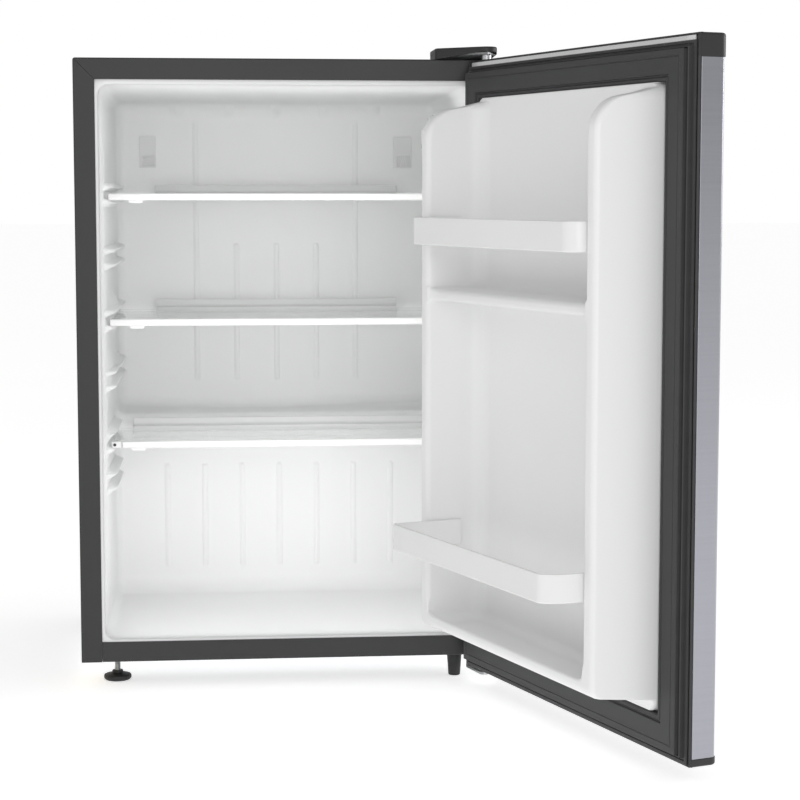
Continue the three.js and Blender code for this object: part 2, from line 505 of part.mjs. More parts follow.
// --- shelves --------------------------------------------------------------------------------------
// A sheet of glass with a moulded trim clipped to its front edge and a raised stop on its rear edge.
for (const { name, glassUnder, back } of SHELVES) {
  const glassTop = glassUnder + GLASS.thick;
  add(cabinet, `${name}_glass`,
    block(-GLASS.halfWidth, GLASS.halfWidth, GLASS.front, back - 3, glassUnder, glassTop), GLASS_FINISH);
  const trimLow = glassUnder - TRIM.below;
  const slot = block(-HALF, HALF, GLASS.front - GAP, back - 3 + GAP, glassUnder - GAP, glassTop + GAP);
  const trimSection = roundedRect(TRIM.front, TRIM.back, trimLow, trimLow + TRIM.tall, TRIM.radius);
  add(cabinet, `${name}_front_trim`, cut(alongX(trimSection, -TRIM.halfWidth, TRIM.halfWidth, 2), slot), TRIM_PLASTIC);
  const rearLow = glassUnder - REAR_TRIM.below;
  const rearFront = back - REAR_TRIM.deep;
  const rearSection = polygon([
    [rearFront, rearLow], [back, rearLow], [back, rearLow + REAR_TRIM.tall], [back - 3, rearLow + REAR_TRIM.tall],
    [back - 5, glassTop + 5], [rearFront, glassTop + 3],
  ]);
  add(cabinet, `${name}_rear_trim`, cut(alongX(rearSection, -REAR_TRIM.halfWidth, REAR_TRIM.halfWidth), slot),
    TRIM_PLASTIC);
}

// --- door -----------------------------------------------------------------------------------------
// Drawn closed. The skin wraps the front and both edges and is hemmed over the liner's flange.
const skinBottom = DOOR_BOTTOM + BOTTOM_CAP + GAP;
const skinTop = DOOR_TOP - TOP_CAP - GAP;
const HEM = 2.6;
const SKIN_RADIUS = 5;
const skinFace = DOOR_OUTER + SKIN_SET;
const skinOutside = roundedRect(-HALF, HALF, skinFace, DOOR_INNER + 2 * SKIN_RADIUS, SKIN_RADIUS);
const skinInside = roundedRect(-HALF + SHEET, HALF - SHEET, skinFace + SHEET,
  DOOR_INNER + 2 * SKIN_RADIUS, SKIN_RADIUS - SHEET);
const hems = [-1, 1].map((side) => block(
  Math.min(side * HALF, side * (HALF - HEM)), Math.max(side * HALF, side * (HALF - HEM)),
  DOOR_INNER - SHEET, DOOR_INNER, skinBottom, skinTop));
const behindDoor = block(-HALF - 1, HALF + 1, DOOR_INNER, DOOR_INNER + 20, 0, TOP + 10);
add(doorPieces, 'door_skin', cut(join(
  cut(alongZ(skinOutside, skinBottom, skinTop, 3), alongZ(skinInside, skinBottom - 1, skinTop + 1, 3), behindDoor),
  ...hems), behindDoor), STAINLESS);

const capPlan = roundedRect(-HALF, HALF, DOOR_OUTER, DOOR_INNER + 12, SKIN_RADIUS);
const linerRoom = block(-HALF + HEM, HALF - HEM, DOOR_INNER - WALL - GAP, DOOR_INNER + 1,
  DOOR_BOTTOM + 2.4, DOOR_TOP - 2.4);
const topBushHole = post(PIN_X, PIN_Y, 7.8, DOOR_TOP - 18.3, DOOR_TOP + 5);
add(doorPieces, 'door_top_cap',
  cut(alongZ(capPlan, DOOR_TOP - TOP_CAP, DOOR_TOP, 3), behindDoor, linerRoom, topBushHole), DARK_PLASTIC);
const lowBushHole = post(PIN_X, PIN_Y, 7.8, 0, DOOR_BOTTOM + BOTTOM_CAP + 2);
const spareHole = post(-PIN_X, PIN_Y, 6, 0, DOOR_BOTTOM + BOTTOM_CAP + 2);
add(doorPieces, 'door_bottom_cap',
  cut(alongZ(capPlan, DOOR_BOTTOM, DOOR_BOTTOM + BOTTOM_CAP, 3), behindDoor, linerRoom, lowBushHole, spareHole),
  DARK_PLASTIC);

const bush = (low, high) => cut(post(PIN_X, PIN_Y, 7.5, low, high),
  post(PIN_X, PIN_Y, PIN_RADIUS + GAP, low - 1, high + 1));
add(doorPieces, 'upper_hinge_bush', bush(DOOR_TOP - 18, DOOR_TOP), WHITE_PLASTIC);
add(doorPieces, 'lower_hinge_bush', bush(DOOR_BOTTOM, DOOR_BOTTOM + BOTTOM_CAP), WHITE_PLASTIC);
add(doorPieces, 'spare_hinge_plug', turned([
  [0, DOOR_BOTTOM - 1.6], [7, DOOR_BOTTOM - 1.6], [8, DOOR_BOTTOM - 0.6], [8, DOOR_BOTTOM - GAP],
  [5.7, DOOR_BOTTOM - GAP], [5.7, DOOR_BOTTOM + 7], [0, DOOR_BOTTOM + 7],
], -PIN_X, PIN_Y, 12), WHITE_PLASTIC);

// The raised parts of the door liner, shrunk inwards by an inset, as solids behind the plateau.
function doorForm(inset) {
  const face = DOOR_INNER + LINER_PLATEAU - inset;
  const root = DOOR_INNER - WALL - 1;
  const crest = DOOR_INNER + DYKE.proud - inset;
  const plateauHalf = HALF - GASKET.outset - GASKET.width - 1 - inset;
  const low = DOOR_BOTTOM + GASKET.outset + GASKET.width + 1 + inset;
  const high = DOOR_TOP - GASKET.outset - GASKET.width - 1 - inset;
  const plateau = alongY(roundedRect(-plateauHalf, plateauHalf, low, high, 14), root, face, 3);
  const radius = DYKE.shoulder;
  const side = new THREE.Shape();
  side.moveTo(root, low);
  side.lineTo(face, low);
  side.lineTo(crest - 5, DYKE.bottom + inset);
  side.lineTo(crest, DYKE.bottom + 5 + inset);
  side.lineTo(crest, DYKE.top - inset - radius);
  side.absarc(crest - radius, DYKE.top - inset - radius, radius, 0, Math.PI / 2);
  side.lineTo(face, high - 4);
  side.lineTo(root, high - 4);
  const outer = HALF - DYKE.outer - inset;
  const inner = HALF - DYKE.inner + inset;
  const dykes = [alongX(side, inner, outer, 5), alongX(side, -outer, -inner, 5)];
  const rise = (BIN_LIP.floorTop - inset - low) / (DYKE.bottom + inset - low);
  const floorTip = face + rise * (crest - 5 - face);
  const binFloor = alongX(polygon([
    [root, low], [face, low], [floorTip, BIN_LIP.floorTop - inset], [root, BIN_LIP.floorTop - inset],
  ]), -inner - 1, inner + 1);
  const ledgeFront = DOOR_INNER + DOOR_LEDGE.proud - inset;
  const ledge = alongX(polygon([
    [root, DOOR_LEDGE.bottom + inset], [ledgeFront - 3, DOOR_LEDGE.bottom + inset],
    [ledgeFront, DOOR_LEDGE.bottom + 3 + inset], [ledgeFront, DOOR_LEDGE.top - inset], [root, DOOR_LEDGE.top - inset],
  ]), -inner - 1, inner + 1);
  const outline = alongY(roundedRect(-plateauHalf, plateauHalf, low, high, 14), root - 1, crest + 1, 3);
  return join(plateau, ...dykes, binFloor, ledge).intersect(outline);
}

const lipFront = DOOR_INNER + DYKE.proud;
const binLip = alongX(polygon([
  [lipFront - BIN_LIP.thick, BIN_LIP.floorTop - 1], [lipFront - 5, DYKE.bottom], [lipFront, DYKE.bottom + 5],
  [lipFront, BIN_LIP.top], [lipFront - BIN_LIP.thick, BIN_LIP.top],
]), DYKE.inner - HALF - 1, HALF - DYKE.inner + 1);
const flangeHalf = HALF - HEM - GAP;
const linerFlange = block(-flangeHalf, flangeHalf, DOOR_INNER - WALL, DOOR_INNER, DOOR_BOTTOM + 2.7, DOOR_TOP - 2.7);
const backOfLiner = block(-HALF, HALF, DOOR_OUTER, DOOR_INNER - WALL, 0, TOP);
add(doorPieces, 'door_liner',
  cut(join(doorForm(0), binLip, linerFlange), doorForm(WALL), backOfLiner), WHITE_PLASTIC);

const foamHalf = HALF - SHEET - GAP - 0.4;
const foamPlan = roundedRect(-foamHalf, foamHalf, skinFace + SHEET + GAP, DOOR_INNER + 2 * SKIN_RADIUS,
  SKIN_RADIUS - SHEET);
const behindFoam = block(-HALF, HALF, DOOR_INNER - WALL - GAP, DOOR_INNER + 20, 0, TOP);
const doorFoamSlab = cut(alongZ(foamPlan, skinBottom, skinTop, 3), behindFoam);
const hingePocket = post(PIN_X, PIN_Y, 8, 0, DOOR_BOTTOM + BOTTOM_CAP + 4);
add(doorPieces, 'door_foam', cut(join(doorFoamSlab, doorForm(WALL + GAP)), hingePocket), FOAM);

const gasketRing = (outset, width, proud) => {
  const outer = roundedRect(-HALF + outset, HALF - outset, DOOR_BOTTOM + outset, DOOR_TOP - outset, 6);
  const inside = outset + width;
  const inner = roundedRect(-HALF + inside, HALF - inside, DOOR_BOTTOM + inside, DOOR_TOP - inside, 12);
  const low = DOOR_INNER + GAP;
  return cut(alongY(outer, low, DOOR_INNER + proud, 2), alongY(inner, low - 1, DOOR_INNER + proud + 1, 2));
};
add(doorPieces, 'door_gasket', join(
  gasketRing(GASKET.outset, GASKET.width, GASKET.flangeProud),
  gasketRing(GASKET.outset + GASKET.flange, GASKET.width - GASKET.flange, GASKET.proud)), GREY_RUBBER);

// The bars keep bottles in. Each is one bent strip whose legs run back inside the dykes.
function rackBar({ proud, bottom, tall, sweepX, sweepY }) {
  const front = DOOR_INNER + proud;
  const legEnd = DOOR_INNER + BAR.legEnd;
  const outline = (inset) => {
    const half = BAR.halfWidth - inset;
    const face = front - inset;
    const shape = new THREE.Shape();
    shape.moveTo(-half, legEnd - (inset > 0 ? 1 : 0));
    shape.lineTo(half, legEnd - (inset > 0 ? 1 : 0));
    shape.absellipse(half - sweepX, face - sweepY, sweepX, sweepY, 0, Math.PI / 2);
    shape.absellipse(-half + sweepX, face - sweepY, sweepX, sweepY, Math.PI / 2, Math.PI);
    return shape;
  };
  return cut(alongZ(outline(0), bottom, bottom + tall, 6), alongZ(outline(BAR.thick), bottom - 1, bottom + tall + 1, 6));
}
add(doorPieces, 'upper_rack_bar', rackBar(UPPER_BAR), TRIM_PLASTIC);
add(doorPieces, 'lower_rack_bar', rackBar(LOWER_BAR), TRIM_PLASTIC);

// --- the open door and the whole fridge -----------------------------------------------------------
doorPieces.position.set(-PIN_X, -PIN_Y, 0);
const doorSwing = new THREE.Group();
doorSwing.add(doorPieces);
doorSwing.position.set(PIN_X, PIN_Y, 0);
doorSwing.rotation.z = DOOR_OPEN;

const fridge = new THREE.Group();
fridge.add(cabinet, doorSwing);
const extent = new THREE.Box3().setFromObject(fridge, true);
const middle = extent.getCenter(new THREE.Vector3());
fridge.position.set(-middle.x, -middle.y, -extent.min.z);

export default fridge;
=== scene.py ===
import json
import math

import bmesh
import bpy
import numpy as np
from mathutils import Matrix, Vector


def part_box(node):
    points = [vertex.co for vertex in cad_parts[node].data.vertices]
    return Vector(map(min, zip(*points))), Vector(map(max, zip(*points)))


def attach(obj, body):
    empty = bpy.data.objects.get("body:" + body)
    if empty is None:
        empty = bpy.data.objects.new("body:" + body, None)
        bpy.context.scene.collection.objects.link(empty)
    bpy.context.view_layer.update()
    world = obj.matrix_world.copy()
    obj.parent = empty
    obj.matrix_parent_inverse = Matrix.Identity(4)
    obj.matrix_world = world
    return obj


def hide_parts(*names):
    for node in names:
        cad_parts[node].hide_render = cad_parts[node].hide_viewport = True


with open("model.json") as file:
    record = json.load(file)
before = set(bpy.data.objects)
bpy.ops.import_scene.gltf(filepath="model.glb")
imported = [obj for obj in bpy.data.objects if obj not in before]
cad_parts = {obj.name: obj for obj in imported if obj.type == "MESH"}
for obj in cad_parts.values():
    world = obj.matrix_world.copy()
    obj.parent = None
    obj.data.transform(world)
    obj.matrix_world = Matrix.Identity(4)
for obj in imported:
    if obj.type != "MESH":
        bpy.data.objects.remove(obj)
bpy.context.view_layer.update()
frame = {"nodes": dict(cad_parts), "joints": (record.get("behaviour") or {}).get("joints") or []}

# --- where things stand ---------------------------------------------------------------------------
# The cabinet's wrapper gives the middle, the front face and the heights that everything else hangs on.
# The door's pieces are drawn in the same way and then turned open about the hinge pins.
MM = 0.001
shell_low, shell_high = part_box("cabinet_wrapper")
middle_x = (shell_low.x + shell_high.x) / 2
front_y = shell_low.y
half_width = (shell_high.x - shell_low.x) / 2 / MM
shell_under = shell_low.z / MM
shell_top = shell_high.z / MM
shell_back = (shell_high.y - shell_low.y) / MM
hinge = next(joint for joint in frame["joints"] if joint["name"] == "door_hinge")
pin_x, pin_y = hinge["pos_m"][0], hinge["pos_m"][1]
door_open = math.radians(-hinge["range_deg"][0])


def stand(points):
    """Cabinet millimetres to metres in the frame: scaled, then moved to the cabinet's place."""
    return np.asarray(points, float) * MM + (middle_x, front_y, 0.0)


def swing(points):
    """The same for a point of the shut door, then turned open: a rotation about the pins' upright axis."""
    placed = stand(points)
    across = placed[..., 0] - pin_x
    along = placed[..., 1] - pin_y
    cosine, sine = math.cos(door_open), math.sin(door_open)
    turned = placed.copy()
    turned[..., 0] = pin_x + cosine * across - sine * along
    turned[..., 1] = pin_y + sine * across + cosine * along
    return turned


def node_mm(name):
    """A cabinet node's lowest and highest corners in cabinet millimetres."""
    low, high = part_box(name)
    origin = np.array((middle_x, front_y, 0.0))
    return (np.array(low) - origin) / MM, (np.array(high) - origin) / MM


# --- camera, floor and light ----------------------------------------------------------------------
# A long lens a little left of the cabinet's middle, at about three quarters of its height, looking slightly
# down. The studio is a white room with an even white sky, a pale floor and three soft lamps. A fourth, unseen
# lamp in the cabinet's mouth lifts the light on the white liner.
LENS = 93.06
EYE = (-107.25, -2707.9, 650.0)
YAW = math.radians(5.386)
PITCH = math.radians(5.740)
SKY_LIGHT = 0.43
FLOOR_GLOW = 0.58
view = bpy.data.cameras.new("view")
view.lens = LENS
view.sensor_width = 36
view.clip_end = 60
eye = bpy.data.objects.new("view", view)
eye.location = stand(EYE)
eye.rotation_euler = (math.pi / 2 - PITCH, 0, -YAW)
bpy.context.scene.collection.objects.link(eye)
bpy.context.scene.camera = eye
bpy.context.scene.view_settings.view_transform = "Standard"

sky = bpy.data.worlds.new("studio")
sky.use_nodes = True
sky_tree = sky.node_tree
sky_tree.nodes["Background"].inputs["Color"].default_value = (1, 1, 1, 1)
sky_tree.nodes["Background"].inputs["Strength"].default_value = SKY_LIGHT
backdrop = sky_tree.nodes.new("ShaderNodeBackground")
either = sky_tree.nodes.new("ShaderNodeMixShader")
sky_tree.links.new(sky_tree.nodes.new("ShaderNodeLightPath").outputs["Is Camera Ray"], either.inputs[0])
sky_tree.links.new(sky_tree.nodes["Background"].outputs[0], either.inputs[1])
sky_tree.links.new(backdrop.outputs[0], either.inputs[2])
sky_tree.links.new(either.outputs[0], sky_tree.nodes["World Output"].inputs["Surface"])
backdrop.inputs["Color"].default_value = (1, 1, 1, 1)
bpy.context.scene.world = sky


def lamp(name, spot, target, size, power):
    """A square soft lamp at spot that faces target, both in cabinet millimetres."""
    light = bpy.data.lights.new(name, "AREA")
    light.size = size
    light.energy = power
    holder = bpy.data.objects.new(name, light)
    holder.location = stand(spot)
    direction = stand(target) - stand(spot)
    flat = math.hypot(direction[0], direction[1])
    heading = math.atan2(direction[1], direction[0])
    holder.rotation_euler = (math.atan2(flat, -direction[2]), 0, heading - math.pi / 2)
    bpy.context.scene.collection.objects.link(holder)


lamp("key", (-1500, -2600, 2400), (0, 0, 450), 1.6, 9)
lamp("front", (300, -3300, 900), (-40, 100, 430), 1.4, 12)
lamp("side", (3200, 200, 1200), (300, -200, 450), 1.2, 22)
mouth_glow = bpy.data.lights.new("mouth_glow", "AREA")
mouth_glow.shape = "RECTANGLE"
mouth_glow.size = 0.44
mouth_glow.size_y = 0.70
mouth_glow.energy = 0.9
glow_holder = bpy.data.objects.new("mouth_glow", mouth_glow)
glow_holder.location = stand((0, 7, 425))
glow_holder.rotation_euler = (math.pi / 2, 0, 0)
glow_holder.visible_camera = False
glow_holder.visible_glossy = False
glow_holder.visible_transmission = False
bpy.context.scene.collection.objects.link(glow_holder)


# --- cabinet wrapper ------------------------------------------------------------------------------
# One sheet of painted steel bent over the top and both sides. Its front edge is folded in to make the frame
# round the opening, with a mitred seam at each top corner. The paint is a satin dark grey.
def grid(points, wrap_rows=False, wrap_columns=False):
    """Four-sided faces between neighbours of a rows x columns array of points."""
    rows, columns = points.shape[:2]
    number = np.arange(rows * columns).reshape(rows, columns)
    if wrap_rows:
        number = np.concatenate((number, number[:1]))
    if wrap_columns:
        number = np.concatenate((number, number[:, :1]), axis=1)
    faces = np.stack((number[:-1, :-1], number[1:, :-1], number[1:, 1:], number[:-1, 1:]), -1)
    return points.reshape(-1, 3), faces.reshape(-1, 4).tolist()


def lid(ring):
    """One flat face over a closed ring of points."""
    return np.asarray(ring, float), [list(range(len(ring)))]


def closed(rings):
    """A tube through rings of points, one row for each ring, with a flat face over both ends."""
    rings = np.asarray(rings, float)
    return [grid(rings, wrap_columns=True), lid(rings[0]), lid(rings[-1])]


def rounded(corners, radii, steps=6, loop=False):
    """A line through corners, each corner replaced by an arc that touches both of its sides."""
    corners = np.asarray(corners, float)
    radii = np.broadcast_to(np.asarray(radii, float), len(corners))
    found = []
    for index, (corner, radius) in enumerate(zip(corners, radii)):
        if radius == 0 or (not loop and index in (0, len(corners) - 1)):
            found.append(corner[None])
            continue
        back = corners[index - 1] - corner
        ahead = corners[(index + 1) % len(corners)] - corner
        back /= np.linalg.norm(back)
        ahead /= np.linalg.norm(ahead)
        half_angle = math.acos(np.clip(back @ ahead, -1, 1)) / 2
        centre = corner + (back + ahead) / np.linalg.norm(back + ahead) * radius / math.sin(half_angle)
        start = corner + back * radius / math.tan(half_angle) - centre
        end = corner + ahead * radius / math.tan(half_angle) - centre
        sweep = math.pi - 2 * half_angle
        share = np.linspace(0, 1, steps + 1)[:, None]
        arc = np.sin((1 - share) * sweep) * start + np.sin(share * sweep) * end
        found.append(centre + arc / math.sin(sweep))
    return np.concatenate(found)


def box_ring(x0, x1, y0, y1, radius, steps=6):
    """A rounded rectangle's outline."""
    return rounded([(x0, y0), (x1, y0), (x1, y1), (x0, y1)], radius, steps, loop=True)


def shrink(ring, inset):
    """A closed outline moved inwards by inset, each point along the bisector of its two sides."""
    side = np.roll(ring, -1, 0) - ring
    side /= np.linalg.norm(side, axis=1)[:, None]
    out = np.stack((side[:, 1], -side[:, 0]), -1)
    bisector = out + np.roll(out, 1, 0)
    bisector /= np.linalg.norm(bisector, axis=1)[:, None]
    stretch = 1 / np.clip((bisector * out).sum(1), 0.5, 1)
    return ring - bisector * (stretch * inset)[:, None]


def on_axis(first, second, level, axis):
    """Points whose level runs along an axis, with first and second on the other two in their own order."""
    first, second, level = np.broadcast_arrays(first, second, level)
    orders = {"z": (first, second, level), "y": (first, level, second), "x": (level, first, second)}
    return np.stack(orders[axis], -1)


def pillow(ring, low, high, radius_low, radius_high, axis="z", steps=4):
    """A slab over an outline whose rims are rounded: quarter circles of shrunk outlines at each end."""
    turn = np.linspace(0, math.pi / 2, steps + 1)
    insets = np.concatenate((radius_low * (1 - np.sin(turn)), radius_high * (1 - np.cos(turn))))
    heights = np.concatenate((low + radius_low * (1 - np.cos(turn)), high - radius_high * (1 - np.sin(turn))))
    if radius_low == 0:
        insets, heights = insets[steps:], heights[steps:]
    return closed([on_axis(*shrink(ring, inset).T, height, axis) for inset, height in zip(insets, heights)])


def prism(ring, low, high, axis="z"):
    """A closed outline of any shape carried straight from low to high."""
    return closed([on_axis(*np.asarray(ring, float).T, height, axis) for height in (low, high)])


def full_turn(sides):
    """Even angles once round a circle."""
    return np.linspace(0, 2 * math.pi, sides, endpoint=False)


def turned(profile, x, y, sides=48, axis="z"):
    """A profile of (radius, level) points spun about an axis, closed at both ends."""
    angle = full_turn(sides)
    radius, level = np.array(profile, float).T[..., None]
    return closed(on_axis(x + radius * np.cos(angle), y + radius * np.sin(angle), level, axis))


def eased(share):
    """A share held between 0 and 1 that starts and ends level: 3 s^2 - 2 s^3."""
    share = np.clip(share, 0, 1)
    return share ** 2 * (3 - 2 * share)


def piece(name, parts, look, body, replaces=(), place=stand, sharp=32, towards=None):
    """One mesh from (points, faces) parts: seams merged, faces turned outwards or towards a point."""
    points = np.concatenate([place(part[0]) for part in parts])
    starts = np.cumsum([0] + [len(part[0]) for part in parts[:-1]])
    faces = [[corner + start for corner in face] for part, start in zip(parts, starts) for face in part[1]]
    mesh = bpy.data.meshes.new(name)
    mesh.from_pydata(points.tolist(), [], faces)
    shape = bmesh.new()
    shape.from_mesh(mesh)
    bmesh.ops.remove_doubles(shape, verts=shape.verts, dist=2e-6)
    bmesh.ops.dissolve_degenerate(shape, edges=shape.edges, dist=1e-7)
    bmesh.ops.recalc_face_normals(shape, faces=shape.faces)
    if towards is not None:
        goal = place(np.array([towards], float))[0]
        lean = sum(face.calc_area() * face.normal.dot(goal - face.calc_center_median())
                   for face in shape.faces)
        if lean < 0:
            bmesh.ops.reverse_faces(shape, faces=shape.faces)
    shape.to_mesh(mesh)
    shape.free()
    mesh.shade_smooth()
    mesh.set_sharp_from_angle(angle=math.radians(sharp))
    mesh.materials.append(look)
    made = bpy.data.objects.new(name, mesh)
    bpy.context.scene.collection.objects.link(made)
    made.modifiers.new("even_shading", "WEIGHTED_NORMAL").keep_sharp = True
    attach(made, body)
    if replaces:
        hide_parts(*replaces)
    return made


class Wire:
    """One output socket in a material. Sums of wires and numbers add Math nodes."""

    def __init__(self, tree, socket):
        self.tree = tree
        self.socket = socket

    def node(self, kind, settings, values, output=0):
        """Any node: its settings, then a value or a wire for each socket. Gives the wire of one output."""
        made = self.tree.nodes.new(kind)
        for key, value in settings.items():
            setattr(made, key, value)
        for key, value in values.items():
            if isinstance(value, Wire):
                self.tree.links.new(value.socket, made.inputs[key])
            else:
                made.inputs[key].default_value = value
        return Wire(self.tree, made.outputs[output])

    def maths(self, operation, *values):
        return self.node("ShaderNodeMath", {"operation": operation}, dict(enumerate(values)))

    def __add__(self, other):
        return self.maths("ADD", self, other)

    def __mul__(self, other):
        return self.maths("MULTIPLY", self, other)

    __radd__ = __add__
    __rmul__ = __mul__

    def stretched(self, x, y, z):
        """These coordinates scaled along each axis."""
        return self.node("ShaderNodeMapping", {}, {"Vector": self, "Scale": (x, y, z)})

    def noise(self, scale, detail=2.0, roughness=0.5):
        """Smooth noise from 0 to 1 at scale lumps a metre."""
        values = {"Vector": self, "Scale": scale, "Detail": detail, "Roughness": roughness}
        return self.node("ShaderNodeTexNoise", {}, values)

    def between(self, low, high):
        """A colour mix with this wire as its share."""
        return self.node("ShaderNodeMix", {"data_type": "RGBA"}, {0: self, 6: (*low, 1), 7: (*high, 1)}, 2)


def material(name, constants, dress):
    """A Principled material: constants set on its sockets, and dress(here) giving what varies over it.
    dress returns a dict of sockets to wires, where "relief" is a height in millimetres."""
    made = bpy.data.materials.new(name)
    made.use_nodes = True
    tree = made.node_tree
    shader = tree.nodes["Principled BSDF"]
    for key, value in constants.items():
        shader.inputs[key].default_value = value
    here = Wire(tree, tree.nodes.new("ShaderNodeTexCoord").outputs["Object"])
    varied = dress(here)
    relief = varied.pop("relief", None)
    for key, wire in varied.items():
        tree.links.new(wire.socket, shader.inputs[key])
    if relief is not None:
        bump = here.node("ShaderNodeBump", {}, {"Height": relief, "Distance": MM, "Strength": 1.0})
        tree.links.new(bump.socket, shader.inputs["Normal"])
    return made


def enamel(here):
    """Sprayed paint: a faint orange peel, with a slow drift in gloss and shade."""
    peel = here.noise(420, 2, 0.6)
    drift = here.noise(9, 2)
    return {
        "Base Color": drift.between((0.030, 0.030, 0.031), (0.037, 0.037, 0.038)),
        "Roughness": 0.34 + 0.10 * drift + 0.05 * peel,
        "relief": 0.030 * peel + 0.006 * here.noise(2400, 1),
    }


painted_steel = material("painted_steel", {"Specular IOR Level": 0.45}, enamel)

SHEET = 0.8
FRAME_WIDE = 27.5
EDGE_BEND = 2.0
TOP_BEND = 3.0
SEAM_WIDE = 0.45
SEAM_DEEP = 0.7
frame_section = np.concatenate((
    rounded([(0, shell_back), (0, 0), (FRAME_WIDE, 0), (FRAME_WIDE, SHEET)], [0, EDGE_BEND, 0.3, 0], 4),
    rounded([(FRAME_WIDE, SHEET), (SHEET, SHEET), (SHEET, shell_back)], [0, EDGE_BEND - SHEET, 0], 4)[1:],
))


def frame_over_top(section):
    """A section of (inset, depth) points carried up one side, over the top and down the other side.
    Each top corner turns in five steps, and the middle step is sunk to leave the mitre's seam."""
    inset, deep = section[:, 0], section[:, 1]
    bend = np.maximum(TOP_BEND - inset, SEAM_WIDE)
    on_frame = (inset > TOP_BEND) & (deep < SHEET / 2)
    left = -half_width + inset
    top = shell_top - inset
    rows = [(left, deep, np.full_like(inset, shell_under))]
    for angle in np.linspace(0, math.pi / 2, 5):
        sunk = np.where(on_frame & (abs(angle - math.pi / 4) < 0.01), SEAM_DEEP, 0)
        rows.append((left + bend * (1 - math.cos(angle)), deep + sunk, top - bend * (1 - math.sin(angle))))
    mirrored = [(-x, y, z) for x, y, z in reversed(rows)]
    return np.stack([np.stack(row, -1) for row in rows + mirrored])


piece("cabinet_shell", closed(frame_over_top(frame_section)), painted_steel, "cabinet",
      ["cabinet_wrapper"])

# --- bottom rail ----------------------------------------------------------------------------------
# A folded strip of the same steel between the side flanges. It closes the frame under the opening and
# turns back under the cabinet to carry the front feet.
rail_low, rail_high = node_mm("bottom_rail")
RAIL_SET = 0.25
rail_inside, rail_floor = RAIL_SET + SHEET, rail_low[2] + SHEET
rail_section = np.concatenate((
    rounded([(RAIL_SET, rail_high[2]), (RAIL_SET, rail_low[2]), (rail_high[1], rail_low[2])], [0, 1.8, 0], 4),
    rounded([(rail_high[1], rail_floor), (rail_inside, rail_floor), (rail_inside, rail_high[2])],
            [0, 1.0, 0], 4),
))
piece("front_rail", prism(rail_section, rail_low[0], rail_high[0], "x"), painted_steel, "cabinet",
      ["bottom_rail"])

# --- studio floor ---------------------------------------------------------------------------------
# A plain white sheet that the fridge stands on. It isn't part of the object.
def matt_white(here):
    """Matt white paint with a barely seen drift in shade and gloss."""
    drift = here.noise(2)
    return {"Base Color": drift.between((0.90, 0.90, 0.90), (0.93, 0.93, 0.93)),
            "Roughness": 0.7 + 0.1 * drift}


floor_mesh = bpy.data.meshes.new("studio_floor")
floor_mesh.from_pydata([(-40, -40, 0), (40, -40, 0), (40, 40, 0), (-40, 40, 0)], [], [(0, 1, 2, 3)])
floor_mesh.materials.append(material("floor_white", {"Emission Color": (1, 1, 1, 1),
                                                     "Emission Strength": FLOOR_GLOW},
                                     matt_white))
studio_floor = bpy.data.objects.new("studio_floor", floor_mesh)
bpy.context.scene.collection.objects.link(studio_floor)

# --- inner liner ----------------------------------------------------------------------------------
# One vacuum-formed shell of white plastic. Ledges for the shelves are drawn out of the side walls, beads
# stiffen the back and the step over the compressor, and a gutter leads melt water to the drain.
OPENING_HALF = 242.5
OPENING_LOW, OPENING_HIGH = 62.0, 788.0
LINER_DEEP = 420.0
WALL_DRAFT = 5.5
FLOOR_RISE, CEILING_DROP = 8.0, 7.0
WALL_FILLET = 14.0
STEP_FRONT, STEP_TOP = 305.0, 329.0
MOUTH = 4.0
LEVELS = (641.5, 556.0, 472.5, 391.0, 306.5, 252.0)
LEDGE_PROUD, LEDGE_TALL, LEDGE_SLOT = 12.5, 7.0, 11.0
LEDGE_STARTS, LEDGE_FULL = 66.0, 128.0
LEDGE_CENTRES = (-LEDGE_TALL / 2 - 1.5, LEDGE_SLOT + LEDGE_TALL / 2 + 0.5)
BEAD_WIDE, BEAD_PROUD = 8.5, 1.8
BACK_BEADS = [(-119.5, 367, 754), (-59.5, 367, 574), (0.5, 367, 574), (60, 367, 574), (119.5, 367, 754)]
STEP_BEADS = [(x, 103, 256) for x in np.linspace(-164, 162, 7)]
CEILING_STUDS = np.linspace(-146, 147, 5)
DRAIN_X = -55.0


def liner_wall_x(y):
    """How far the side walls stand from the middle at depth y: they draw in towards the back."""
    return OPENING_HALF - WALL_DRAFT * y / LINER_DEEP


def liner_gutter(points):
    """Sinks the back of the step into a shallow V that falls to the drain."""
    x, y, z = points[..., 0], points[..., 1], points[..., 2]
    fall = -5.0 + 9.0 * np.abs(x - DRAIN_X) / 240
    low_down = np.clip((352 - z) / 16, 0, 1) * (z > STEP_TOP - 30)
    shifted = points.copy()
    shifted[..., 2] += fall * eased((y - 384) / 20) * low_down
    return shifted


def beads(points, places, along_z):
    """Height of half-round beads over a wall: each one is a parabola across its distance from a line."""
    height = np.zeros(points.shape[:2])
    for x, low, high in places:
        past = np.maximum(np.maximum(low + BEAD_WIDE / 2 - along_z, along_z - high + BEAD_WIDE / 2), 0)
        away = np.hypot(points[..., 0] - x, past) / (BEAD_WIDE / 2)
        height = np.maximum(height, BEAD_PROUD * np.clip(1 - away ** 2, 0, 1))
    return height


def ledge_height(y, z):
    """How far a side wall stands in: two soft ridges at each level, fading out at front and back."""
    height = np.zeros(np.broadcast(y, z).shape)
    for level in LEVELS:
        back = STEP_FRONT - 12 if level < STEP_TOP else LINER_DEEP - 14
        grow = eased((y - LEDGE_STARTS) / (LEDGE_FULL - LEDGE_STARTS)) * eased((back - y) / 14)
        for centre in LEDGE_CENTRES:
            ridge = eased((LEDGE_TALL / 2 + 3.0 - np.abs(z - level - centre)) / 5.4)
            height = np.maximum(height, LEDGE_PROUD * ridge * grow)
    return height


